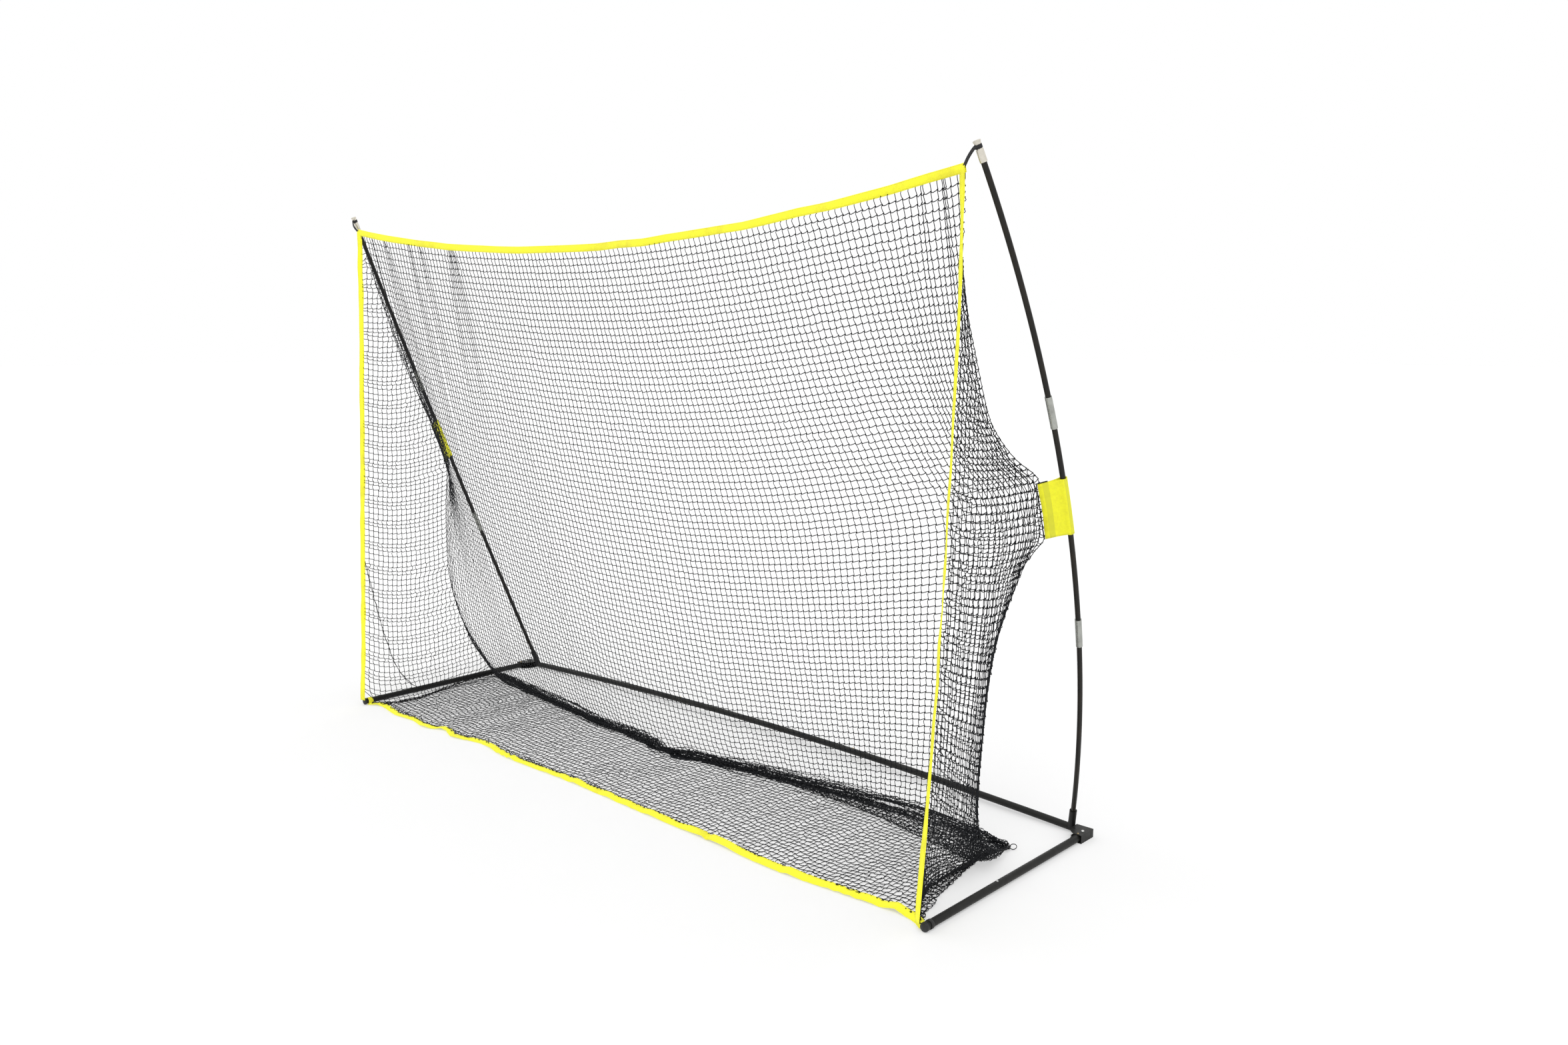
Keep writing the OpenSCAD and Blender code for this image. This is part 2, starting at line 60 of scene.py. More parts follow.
POLE_R = 5.560               # bend radius of a pole
POLE_LEAN, POLE_LEAN_DIR, POLE_BEND_DIR = 20.8, -49.5, -104.5     # degrees
FOOT_X = BAR_X - 0.059       # where a pole's foot stands on the rail
RAIL_BEHIND = 0.027          # rail's ends, behind the side bars' pivots
RAIL_BACK, RAIL_UP = 0.050, 0.020        # bow of the rail at its middle
SLEEVE_S, SLEEVE_H = 1.197, 0.178        # sleeve's middle along the pole, and its height
SLEEVE_OUT = np.array([-0.65, -0.76, 0.0])
SLEEVE_REACH, SLEEVE_R = .073, .0108     # from the pole's axis to the net edge, and round the pole
TIP_WAIST_S, STRAP_R = 2.2318, 0.0097    # tip's waist along the pole, and the strap round it
LOOP_R = .0134               # corner loop round a side bar
TWINE_R = 0.00125
BACK_COLS, WALL_ROWS, DEPTH_ROWS = 148, 98, 33       # meshes across and down the back, and along the floor
SIDE_ROWS = {1: 87, -1: 100}             # rows of meshes in the right and left side panel
MESH_X, MESH_Z = 0.0230, 0.0234          # knot to knot as it is laid out, a little slack
TWINE_X, TWINE_Z = 0.0238, 0.0240        # length of twine between two knots, across and down
TAUT = .0242                 # no strand is longer than this from knot to knot
KNOT_LOW = .0025             # height of the lowest knots
FLOOR_NET_Z = .004           # height of netting that lies on the floor

rng = np.random.default_rng(11)


# ---------------------------------------------------------------- small helpers
def unit(v):
    """Vectors scaled to length 1."""
    v = np.asarray(v, float)
    return v / np.maximum(np.linalg.norm(v, axis=-1, keepdims=True), 1e-12)


def turn(axis, degrees):
    """Rotation matrix about z or y."""
    c, s = math.cos(math.radians(degrees)), math.sin(math.radians(degrees))
    if axis == "z":
        return np.array([[c, -s, 0], [s, c, 0], [0, 0, 1]])
    return np.array([[c, 0, s], [0, 1, 0], [-s, 0, c]])


def rail_point(x):
    """Point of the bowed rear rail's axis at x."""
    bow = math.hypot(RAIL_BACK, RAIL_UP)
    radius = (BAR_X ** 2 + bow ** 2) / (2 * bow)
    out = bow - radius * (1 - math.cos(math.asin(x / radius)))
    return np.array([x, PIVOT_Y + RAIL_BEHIND + out * RAIL_BACK / bow, BAR_Z + out * RAIL_UP / bow])


def pole_point(s, side=1):
    """Points of the right (side 1) or left (-1) pole's axis at distances s from its foot."""
    a = np.atleast_1d(s) / POLE_R
    local = np.stack([POLE_R * (1 - np.cos(a)), 0 * a, POLE_R * np.sin(a)], 1)
    m = turn("z", POLE_LEAN_DIR) @ turn("y", POLE_LEAN) @ turn("z", POLE_BEND_DIR)
    p = rail_point(FOOT_X) + local @ m.T
    return p * [side, 1, 1]


def distances(path):
    """Distance of each point of a path from its start, measured along it."""
    return np.concatenate([[0], np.cumsum(np.linalg.norm(np.diff(path, axis=0), axis=1))])


def resample(path, n):
    """The path as n points at even distances."""
    path = np.asarray(path, float)
    d = distances(path)
    t = np.linspace(0, d[-1], n)
    return np.stack([np.interp(t, d, path[:, k]) for k in range(3)], 1)


def path_length(path):
    return float(np.linalg.norm(np.diff(path, axis=0), axis=1).sum())


def smooth_path(points, n):
    """A Catmull-Rom curve through the points, at n even distances."""
    p = np.asarray(points, float)
    q = np.vstack([2 * p[0] - p[1], p, 2 * p[-1] - p[-2]])
    out = []
    for i in range(len(p) - 1):
        a, b, c, d = q[i:i + 4]
        t = np.linspace(0, 1, 16, endpoint=False)[:, None]
        out.append(0.5 * (2 * b + (c - a) * t + (2 * a - 5 * b + 4 * c - d) * t ** 2
                          + (3 * b - a - 3 * c + d) * t ** 3))
    return resample(np.vstack(out + [p[-1:]]), n)


def noise(n, scale, size):
    """Smooth random curve of n values: bumps about scale samples wide, of that size."""
    k = max(2, int(n / scale) + 2)
    x = np.linspace(0, k - 1, n)
    return size * np.interp(x, np.arange(k), rng.standard_normal(k))


def mesh_object(name, verts, loops, starts, material, uv=None):
    """A smooth object: loops lists the faces' corners one after another, starts where each face begins."""
    me = bpy.data.meshes.new(name)
    me.vertices.add(len(verts))
    me.vertices.foreach_set("co", np.asarray(verts, np.float32).ravel())
    me.loops.add(len(loops))
    me.loops.foreach_set("vertex_index", loops.astype(np.int32))
    me.polygons.add(len(starts))
    me.polygons.foreach_set("loop_start", starts.astype(np.int32))
    me.update(calc_edges=True)
    if uv is not None:
        me.uv_layers.new(name="UVMap").data.foreach_set("uv", np.asarray(uv, np.float32)[loops].ravel())
    me.polygons.foreach_set("use_smooth", np.full(len(starts), True))
    me.materials.append(material)
    o = bpy.data.objects.new(name, me)
    bpy.context.scene.collection.objects.link(o)
    return o


def new_mesh(name, verts, faces, material, uv=None):
    """An object whose faces all have the same number of corners."""
    faces = np.asarray(faces)
    o = mesh_object(name, verts, faces.ravel(), np.arange(len(faces)) * faces.shape[1], material, uv)
    o.data.validate()
    return o


def tube_faces(rings, m):
    """Quads of a tube of so many rings with m points each, closed at both ends."""
    idx = np.arange(rings * m).reshape(rings, m)
    nxt = np.roll(idx, -1, 1)
    f = np.stack([idx[:-1], nxt[:-1], nxt[1:], idx[1:]], -1).reshape(-1, 4)
    caps = []
    for ring, flip in ((idx[0], True), (idx[-1], False)):
        for k in range(m // 2 - 1):
            q = [ring[k], ring[k + 1], ring[m - 2 - k], ring[m - 1 - k]]
            caps.append(q[::-1] if flip else q)
    return np.vstack([f, np.array(caps)])


def sweep(path, across, section):
    """Sweeps a closed 2-D section (metres: across, through) along a path. across is its width direction, or each
    point's own."""
    path, across = np.asarray(path, float), np.asarray(across, float)
    n, m = len(path), len(section)
    t = unit(np.gradient(path, axis=0))
    a = unit(across - (np.sum(across * t, 1))[:, None] * t)
    b = np.cross(t, a)
    sec = np.repeat(np.asarray(section, float)[None], n, 0)
    v = path[:, None] + sec[:, :, :1] * a[:, None] + sec[:, :, 1:] * b[:, None]
    uv = np.stack([np.repeat(distances(path)[:, None], m, 1), sec[:, :, 0]], -1).reshape(-1, 2)
    return v.reshape(-1, 3), tube_faces(n, m), uv


def flat_section(width, thick):
    """Rounded strip, as 8 points: the first four across the front, the last four back across the rear."""
    w, t = width / 2, thick / 2
    return [(-w, -t * .3), (-w + t * .7, -t), (w - t * .7, -t), (w, -t * .3),
            (w, t * .3), (w - t * .7, t), (-w + t * .7, t), (-w, t * .3)]


def round_section(radius, sides=10):
    a = np.arange(sides) * 2 * math.pi / sides
    return [(radius * math.cos(x), radius * math.sin(x)) for x in a]


# ---------------------------------------------------------------- materials
def material(name, color, roughness=0.6, metallic=0.0, **sockets):
    """A Principled material with even values; other sockets are named with _ for a space."""
    m = bpy.data.materials.new(name)
    m.use_nodes = True
    b = m.node_tree.nodes["Principled BSDF"]
    b.inputs["Base Color"].default_value = (*color, 1)
    b.inputs["Roughness"].default_value = roughness
    b.inputs["Metallic"].default_value = metallic
    for k, v in sockets.items():
        b.inputs[k.replace("_", " ")].default_value = v
    return m


class Graph:
    """Short calls for building a material's nodes."""

    def __init__(self, mat):
        self.t = mat.node_tree
        self.bsdf = self.t.nodes["Principled BSDF"]

    def node(self, kind, **props):
        n = self.t.nodes.new(kind)
        for k, v in props.items():
            setattr(n, k, v)
        return n

    def link(self, a, b):
        self.t.links.new(a, b)

    def noise(self, scale, detail=3, rough=0.5):
        n = self.node("ShaderNodeTexNoise")
        n.inputs["Scale"].default_value = scale
        n.inputs["Detail"].default_value = detail
        n.inputs["Roughness"].default_value = rough
        self.link(self.node("ShaderNodeTexCoord").outputs["Object"], n.inputs["Vector"])
        return n.outputs["Fac"]

    def math(self, op, a, b=None, clamp=False):
        n = self.node("ShaderNodeMath", operation=op, use_clamp=clamp)
        for k, v in enumerate((a, b)):
            if v is None:
                continue
            if isinstance(v, (int, float)):
                n.inputs[k].default_value = v
            else:
                self.link(v, n.inputs[k])
        return n.outputs[0]

    def remap(self, value, lo, hi, to_lo=0.0, to_hi=1.0):
        n = self.node("ShaderNodeMapRange")
        for k, v in enumerate((lo, hi, to_lo, to_hi)):
            n.inputs[k + 1].default_value = v
        self.link(value, n.inputs[0])
        return n.outputs[0]

    def mix(self, fac, a, b):
        n = self.node("ShaderNodeMix", data_type="RGBA")
        self.link(fac, n.inputs[0])
        for k, v in ((6, a), (7, b)):
            if isinstance(v, tuple):
                n.inputs[k].default_value = (*v, 1)
            else:
                self.link(v, n.inputs[k])
        return n.outputs[2]

    def bump(self, height, distance, strength=1.0):
        n = self.node("ShaderNodeBump")
        n.inputs["Strength"].default_value = strength
        n.inputs["Distance"].default_value = distance
        self.link(height, n.inputs["Height"])
        self.link(n.outputs[0], self.bsdf.inputs["Normal"])

    def color(self, value):
        self.link(value, self.bsdf.inputs["Base Color"])

    def rough(self, value):
        self.link(value, self.bsdf.inputs["Roughness"])

    def uv(self):
        n = self.node("ShaderNodeSeparateXYZ")
        self.link(self.node("ShaderNodeTexCoord").outputs["UV"], n.inputs[0])
        return n.outputs[0], n.outputs[1]


def finished(mat, spots, colors, gloss, grain):
    """The material with two colours in spots, an uneven gloss and a fine grain.

    spots and gloss are a noise's scale, detail and range, gloss with the roughness that it runs between; grain is
    a noise's scale, and the depth and strength of its bumps.
    """
    g = Graph(mat)
    g.color(g.mix(g.remap(g.noise(*spots[:2]), *spots[2:]), *colors))
    g.rough(g.remap(g.noise(*gloss[:2]), *gloss[2:]))
    g.bump(g.noise(grain[0], 2), *grain[1:])
    return mat


def powder_coat(name, color, rough=0.42):
    """Dark powder coat, slightly lighter where it is worn."""
    light = tuple(min(1, c * 1.5 + .002) for c in color)
    return finished(material(name, color, rough, Specular_IOR_Level=.2), (14, 4, .35, .75), (color, light),
                    (60, 3, .3, .7, rough - .07, rough + .1), (900, .00018, .6))


def metal(name, color, rough=0.3, brushed=False):
    """Bare metal with faint tarnish; brushed metal has the finer grain."""
    return finished(material(name, color, rough, 1.0), (40, 4, .35, .7), (color, tuple(c * .72 for c in color)),
                    (220, 3, .25, .75, rough - .08, rough + .12), (1500 if brushed else 500, .00006, .5))


def fabric(name, color, marks, weave=0.0011, stitch=None, rough=.72, sheen=.35, painted_glow=0.0):
    """Woven webbing or cloth. UV runs along and across it in metres. A glow adds painted light: the cloth gives off
    light of its own colour, though it is no lamp.
    """
    m = material(name, color, rough, Sheen_Weight=sheen)
    g = Graph(m)
    u, v = g.uv()
    warp = g.math("SINE", g.math("MULTIPLY", v, 2 * math.pi / weave))
    weft = g.math("SINE", g.math("MULTIPLY", u, 2 * math.pi / (weave * 1.25)))
    cloth = g.math("MULTIPLY", warp, weft)
    stain = g.remap(g.noise(9, 5, .6), .52, .75)
    soft = g.remap(g.noise(160, 3), .3, .75)
    dark = tuple(c * .80 for c in color)
    c = g.mix(g.math("MULTIPLY", soft, .55), color, dark)
    c = g.mix(g.math("MULTIPLY", stain, .5), c, marks)
    shade = g.remap(cloth, -1, 1, 0, .16)
    c = g.mix(shade, c, tuple(x * .45 for x in color))
    if stitch:
        edge, thread = stitch
        away = g.math("ABSOLUTE", g.math("SUBTRACT", g.math("ABSOLUTE", v), edge))
        line = g.math("LESS_THAN", away, .0007)
        dash = g.math("GREATER_THAN", g.math("SINE", g.math("MULTIPLY", u, 2 * math.pi / .0048)), -.35)
        on = g.math("MULTIPLY", line, dash)
        c = g.mix(on, c, thread)
    g.color(c)
    g.bump(cloth, .00022, .7)
    # painted light: the cloth's own colour given off as light, so the yellow looks brighter than the lamps make it
    if painted_glow:
        g.link(c, g.bsdf.inputs["Emission Color"])
        g.bsdf.inputs["Emission Strength"].default_value = painted_glow
    return m


YELLOW = (0.93, 0.91, 0.020)
OCHRE = (0.52, 0.42, 0.02)
M = {}
# the yellow webbing glows a little: painted light that brightens it
M["webbing"] = fabric("yellow_webbing", YELLOW, OCHRE, stitch=(.0098, (.60, .50, .03)), sheen=.05, painted_glow=.16)
M["black_strap"] = fabric("black_webbing", (.010, .010, .011), (.022, .022, .024), weave=.0012, sheen=.05)


def sleeve_material():
    """Yellow cloth with two darker woven bands, one beside the net and one round the pole. UV v is the reach."""
    # the sleeve cloth glows a little too: painted light that brightens its yellow
    m = fabric("yellow_cloth", YELLOW, OCHRE, weave=.0008, sheen=.05, painted_glow=.16)
    g = Graph(m)
    v = g.uv()[1]
    inner = g.math("MULTIPLY", g.math("GREATER_THAN", v, .043), g.math("LESS_THAN", v, .060))
    outer = g.math("MULTIPLY", g.math("GREATER_THAN", v, -.0096), g.math("LESS_THAN", v, .0005))
    band = g.math("ADD", inner, outer, clamp=True)
    cloth = g.bsdf.inputs["Base Color"].links[0].from_socket
    g.color(g.mix(g.math("MULTIPLY", band, .8), cloth, (.60, .60, .030)))
    return m


M["sleeve"] = sleeve_material()


def twine_material(name, color, light):
    """Black fibre, flecked with a lighter shade."""
    return finished(material(name, color, .7, Specular_IOR_Level=.22), (700, 3, .4, .7), (color, light),
                    (300, 2, .3, .7, .6, .8), (1800, .0002, .6))


M["twine"] = twine_material("black_twine", (.0040, .0044, .0056), (.010, .012, .017))
M["seam"] = twine_material("seam_cord", (.0035, .0035, .0040), (.009, .009, .011))

SLOTS = {
    "frame_paint": powder_coat("frame_powder", (.0080, .0080, .0072)),
    "bracket_paint": powder_coat("bracket_powder", (.0110, .0110, .0098), .46),
    "socket_paint": powder_coat("socket_powder", (.0075, .0075, .0072), .38),
    "spring_steel": metal("spring_metal", (.56, .57, .58), .34),
    "button_brass": metal("brass_metal", (.74, .55, .27), .30),
    "button_steel": metal("steel_metal", (.80, .80, .79), .26),
    "rivet_zinc": metal("zinc_metal", (.80, .80, .78), .33),
    "ferrule_metal": metal("ferrule_satin", (.44, .45, .42), .28, True),
    "tip_metal": metal("tip_satin", (.78, .74, .65), .32, True),
    # fibreglass under clear varnish, with a brown cast
    "pole_gloss": finished(
        material("pole_gloss", (.008, .007, .005), .3, Coat_Weight=.12, Coat_Roughness=.12, Specular_IOR_Level=.22),
        (22, 4, .4, .7), ((.007, .0065, .005), (.015, .011, .007)), (90, 3, .3, .7, .24, .38), (240, .00008, .4)),
    # moulded black plastic
    "cap_plastic": finished(
        material("cap_moulded", (.012, .012, .013), .5, Specular_IOR_Level=.4),
        (50, 3, .35, .7), ((.010, .010, .011), (.020, .020, .021)), (400, 2, .3, .7, .42, .6), (1200, .00012, .5)),
}
subparts = {s["node"]: s["material_slot"] for s in frame["record"]["subparts"]}
for node_name, obj in frame["nodes"].items():
    mat = SLOTS.get(subparts[node_name])
    if mat:
        for k in range(len(obj.data.materials)):
            obj.data.materials[k] = mat


# ---------------------------------------------------------------- V springs, each a copy of its part in the model, which is hidden
for side_name in ("left", "right"):
    for kind_name, tube_body, button_body, press in (
            ("bar_spring", f"{side_name}_bar", f"{side_name}_bar_snap", "bar_button_press"),
            ("lock_spring", f"{side_name}_bar", f"{side_name}_fold_lock", "fold_lock_press"),
            ("rail_spring", "floor_frame", f"{side_name}_rail_snap", "rail_button_press")):
        node_name = f"{kind_name}_{side_name}"
        source = frame["nodes"][node_name]
        leaf = bpy.data.objects.new(f"{kind_name}_leaf_{side_name}", source.data.copy())
        leaf.data.transform(source.matrix_world)
        bpy.context.scene.collection.objects.link(leaf)
        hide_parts(node_name)
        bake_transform(leaf)


# ---------------------------------------------------------------- the net's outline
def top_line(x):
    """Lower edge of the top border."""
    z = CORNER[2] - TOP_SAG * (1 - (x / CORNER[0]) ** 2) - BORDER_W + .002
    return np.stack([x, np.full_like(x, CORNER[1]), z], 1)


def side_line(z):
    """Outer edge of the right side border, at heights z."""
    t = np.clip(1 - (z - FRONT_FOOT[2]) / (CORNER[2] - FRONT_FOOT[2]), 0, 1) ** 1.4
    return np.stack([CORNER[0] + (FRONT_FOOT[0] - CORNER[0]) * t, CORNER[1] + (FRONT_FOOT[1] - CORNER[1]) * t, z], 1)


def border_bow(z):
    """How far the left border bows outwards."""
    return .012 * np.sin(math.pi * np.clip(z / CORNER[2], 0, 1)) ** 1.5


HEM = np.array([  # bottom border on the floor: x, y of its front edge
    [-1.512, -.422], [-1.44, -.392], [-1.29, -.414], [-1.16, -.404], [-1.05, -.420], [-.95, -.384], [-.85, -.408],
    [-.70, -.374], [-.48, -.400], [-.11, -.392], [.29, -.402], [.63, -.409], [.95, -.424], [1.20, -.406],
    [1.40, -.392], [1.47, -.400], [1.512, -.424]])
FOLD = np.array([  # front of the heap of loose netting: x, y
    [-1.50, .262], [-1.44, .25], [-1.13, .193], [-.83, .157], [-.54, .111], [-.31, .108], [-.15, .075], [-.08, .022],
    [.0, .078], [.27, .112], [.57, .153], [.85, .196], [1.05, .214], [1.25, .21], [1.40, .204]])
# rear creases where the side panels meet the back, from the top corner to the floor: |x|, y, z
SEAM = {
    1: np.array([
        [1.537, -.325, 2.035], [1.524, -.318, 1.86], [1.516, -.275, 1.69], [1.514, -.225, 1.56], [1.514, -.160, 1.405],
        [1.516, -.105, 1.335], [1.535, -.045, 1.270], [1.568, .022, 1.212], [1.567, .048, 1.13], [1.566, .072, 1.045],
        [1.545, .050, 1.000], [1.525, .010, .945], [1.515, -.045, .85], [1.510, -.090, .74], [1.508, -.118, .62],
        [1.506, -.140, .46], [1.504, -.150, .33], [1.500, -.140, .22], [1.480, -.060, .125], [1.440, .080, .050],
        [1.400, .200, .012]]),
    -1: np.array([
        [1.537, -.325, 2.035], [1.528, -.278, 1.89], [1.524, -.220, 1.75], [1.526, -.168, 1.62], [1.532, -.115, 1.50],
        [1.543, -.063, 1.39], [1.556, -.015, 1.29], [1.568, .022, 1.212], [1.567, .048, 1.13], [1.566, .072, 1.045],
        [1.540, .046, 1.000], [1.530, .030, .90], [1.530, .022, .75], [1.530, .025, .54], [1.528, .056, .38],
        [1.524, .110, .24], [1.520, .162, .15], [1.513, .215, .06], [1.500, .255, .012]])}
FLOOR_EDGE = {  # edge of the floor panel, from the rear corner forward: |x|, y
    1: np.array([
        [1.400, .200], [1.363, .092], [1.369, .004], [1.372, -.110], [1.385, -.230], [1.440, -.340], [1.498, -.405]]),
    -1: np.array([
        [1.500, .255], [1.506, .170], [1.493, .060], [1.458, -.079], [1.412, -.221], [1.424, -.323], [1.498, -.405]])}
HEAP_HALF = {1: 1.40, -1: 1.50}
# upright folds in the top of the back panel: x and z at the upper end, x and z where it fades, half width
FOLDS_DOWN = [
    (-.905, 1.93, -.800, 1.38, .026), (-.838, 1.93, -.712, 1.36, .034), (-1.330, 1.95, -1.190, 1.48, .026),
    (-1.150, 1.97, -1.060, 1.52, .020), (-1.062, 1.93, -.940, 1.42, .024), (-1.445, 1.99, -1.40, 1.60, .018),
    (1.500, 2.02, 1.485, 1.10, .030), (1.405, 1.98, 1.38, 1.65, .012)]


def warp_columns(u, heights):
    """Where the columns u lie at the given heights once the upright folds have drawn them together."""
    x = u * CORNER[0]
    mid = (x[1:] + x[:-1]) / 2
    aims = [x1 + (x2 - x1) * (z1 - heights) / (z1 - z2) for x1, z1, x2, z2, half in FOLDS_DOWN]
    centres = [aim.copy() for aim in aims]
    for _ in range(4):
        gap = np.ones((len(heights), len(u) - 1))
        for centre, (x1, z1, x2, z2, half) in zip(centres, FOLDS_DOWN):
            depth = np.clip((heights - z2) / (z1 - z2), 0, 1) ** .6
            gap -= .90 * depth[:, None] * np.exp(-((mid[None] - centre[:, None]) / half) ** 2)
        gap = np.maximum(gap, .07)
        run = np.concatenate([np.zeros((len(heights), 1)), np.cumsum(gap, 1)], 1)
        # a fold's centre is moved along the columns until it hangs where it should
        for centre, aim in zip(centres, aims):
            for h in range(len(heights)):
                centre[h] = np.interp(aim[h], (run[h] / run[h, -1] * 2 - 1) * CORNER[0], x)
    return run / run[:, -1:] * 2 - 1, gap


def drifted(u, drop):
    """The columns spread out below the top border, and those at the right gather towards the right crease."""
    x = np.asarray(u) * CORNER[0]
    gained = np.interp(x, [-1.543, -1.0, -.45, 1.12, 1.25, 1.40, 1.543], [0, -.035, -.03, .205, .19, .105, 0])
    return u + gained / CORNER[0] * np.interp(drop, [0, .04, .42, .60, 1], [0, .06, 1, 1, .75])


def hem_y(x):
    """Front edge of the bottom border."""
    return np.interp(x, HEM[:, 0], HEM[:, 1]) + SHIFT_Y


def hem_tilt(x):
    """How far the bottom border leans up from the floor, as an angle: more towards the right."""
    return np.interp(x, [-1.5, -.5, .3, 1.0, 1.45, 1.51], [.12, .12, .32, .55, .50, .30])


def fold_y(x):
    """Front of the heap of loose netting."""
    return np.interp(x, FOLD[:, 0], FOLD[:, 1]) + SHIFT_Y


def heap_spread(x):
    """How far the loose netting on the floor reaches back from the front of the heap."""
    return np.interp(x, [-.5, -.1, .3, 1.0, 1.25], [0, .030, .090, .085, .02])


# ---------------------------------------------------------------- the netting, as a grid of knots
def build_net():
    """Lays out the knots, relaxes them under their own weight and returns the knots and the strands between them."""
    rows, cols, deep = WALL_ROWS, BACK_COLS, DEPTH_ROWS
    total = rows + deep
    grid = np.arange((total + 1) * (cols + 1)).reshape(total + 1, cols + 1)
    pos = np.zeros((grid.size, 3))
    pinned = np.zeros(grid.size, bool)
    heap = np.zeros(grid.size, bool)
    u = np.linspace(-1, 1, cols + 1)
    seam, seam_rows = {}, {}
    for k in (1, -1):
        path = smooth_path(SEAM[k] + [0, SHIFT_Y, 0], 600)
        seam_rows[k] = min(rows - 2, int(round(path_length(path) / MESH_Z)))
        seam[k] = resample(path, seam_rows[k] + 1)
    edge = {}
    for k in (1, -1):
        line = FLOOR_EDGE[k] + [0, SHIFT_Y]
        edge[k] = resample(np.column_stack([line, np.full(len(line), FLOOR_NET_Z)]), deep + 1)
    heights = np.linspace(CORNER[2], FLOOR_NET_Z, 240)
    warped, gaps = warp_columns(u, heights)
    stagger = np.where(np.arange(cols + 1) % 2, 1, -1)
    for j in range(cols + 1):
        side = 1 if u[j] >= 0 else -1
        a = abs(u[j])
        head = top_line(np.array([warped[0, j] * (CORNER[0] - .004)]))[0]
        xf = float(drifted(u[j], 1.0)) * HEAP_HALF[side]
        yf = fold_y(np.array([xf]))[0]
        z = np.linspace(head[2], FLOOR_NET_Z, 220)
        uz = np.interp(z, heights[::-1], warped[::-1, j])
        squeeze = 1 - np.interp(z, heights[::-1], gaps[::-1, min(j, cols - 1)])
        sx = np.interp(z, seam[side][::-1, 2], seam[side][::-1, 0])
        sy = np.interp(z, seam[side][::-1, 2], seam[side][::-1, 1])
        drop = 1 - z / head[2]
        uz = drifted(uz, drop)
        mid = CORNER[1] + (yf + .02 - CORNER[1]) * drop ** 1.22
        lean = drop * (1 - drop)
        power = 3.2 + 5 * lean if side == 1 else 3.0 + 3 * np.clip((1.2 - z) / .6, 0, 1)
        blend = np.abs(uz) ** power
        hang = np.stack([uz * (sx + (1 - a) * (CORNER[0] - sx) * (1 - drop)), mid + (sy - mid) * blend, z], 1)
        hang[:, 1] += stagger[j] * .009 * squeeze * np.clip(drop * 20, 0, 1)
        hang[0] = head
        # n1 rows hang; the right part takes up to a twentieth more
        n1 = int(min(rows, round(path_length(hang) / MESH_Z * (1 + .05 * np.clip((u[j] - .2) / .6, 0, 1)))))
        if j in (0, cols):
            n1 = seam_rows[side]
            hang = seam[side] * [side, 1, 1]
        pos[grid[:n1 + 1, j]] = resample(hang, n1 + 1)
        # floor part, from the front edge back towards the heap
        if j in (0, cols):
            pos[grid[rows:, j]] = edge[side] * [side, 1, 1]
            # rows left over at the rear corner lie in small waves
            t = (np.arange(rows - n1 - 1) + 1) / (rows - n1)
            wave = .010 * np.sin(2 * math.pi * 2.5 * t)
            pos[grid[n1 + 1:rows, j]] = edge[side][0] * [side, 1, 1] + np.stack(
                [-side * .016 * np.sin(math.pi * t), wave, .002 + .010 * np.sin(math.pi * t)], 1)
            heap[grid[n1 + 1:rows, j]] = True
            continue
        xh = u[j] * 1.506
        tilt = float(hem_tilt(xh))
        yh = hem_y(np.array([xh]))[0] + BORDER_W * math.cos(tilt) - .002
        flat_len = math.hypot(yf - .03 - yh, xf - xh)
        bunched = np.array([0, .006, .013, .022]) * (1 + .35 * math.sin(j * .21) * math.sin(j * .083))
        n2 = min(deep, 3 + int(round((flat_len - bunched[3]) / MESH_X * 1.01)))
        along = np.concatenate([bunched, np.linspace(bunched[3], flat_len, n2 - 2)[1:]])
        back = np.array([[xf - xh, yf - .03 - yh, 0]])
        front = np.array([[xh, yh, FLOOR_NET_Z]]) + back * (along / flat_len)[:, None]
        front[:, 2] += BORDER_W * math.sin(tilt) * np.clip(1 - along / .035, 0, 1)
        pos[grid[total - n2:, j]] = front[::-1]
        # the heap takes up what is left over
        k = total - n2 - n1 - 1
        if k > 0:
            t = (np.arange(k) + 1) / (k + 1)
            swing = .026 + .25 * float(heap_spread(xf))
            phase = 2 * math.pi * (k * MESH_Z / (4 * swing)) * t
            full = min(1, k / 14)
            y = yf + .004 + swing - .026 + swing * full * np.sin(phase) * (1 - .25 * t) - .014 * t
            zz = .005 + .013 * full * np.sin(math.pi * t) * (1 + .5 * np.cos(phase * .5))
            pos[grid[n1 + 1:n1 + 1 + k, j]] = np.stack([np.full(k, xf), y, zz], 1)
            heap[grid[n1 + 1:n1 + 1 + k, j]] = True
    pinned[grid[0]] = True
    pinned[grid[total]] = True
    pinned[grid[:, 0]] = True
    pinned[grid[:, cols]] = True

    extra_pos, sides = [], {}
    count = grid.size
    side_seam = {k: resample(seam[k], SIDE_ROWS[k] + 1) * [k, 1, 1] for k in (1, -1)}
    for side, col in ((1, cols), (-1, 0)):
        nodes = []
        last = SIDE_ROWS[side]
        for i in range(last + 1):
            # as many meshes across as the panel is deep there
            foot = side_line(np.array([side_seam[side][i][2]]))[0] * [side, 1, 1]
            k = max(1, int(round(np.linalg.norm(side_seam[side][i] - foot) / MESH_X))) if i < last else deep
            line = np.empty(k + 1, int)
            if i == last:
                line[:] = grid[total - np.arange(k + 1), col]
            else:
                line[k] = count
                count += 1
                extra_pos.append(side_seam[side][i])
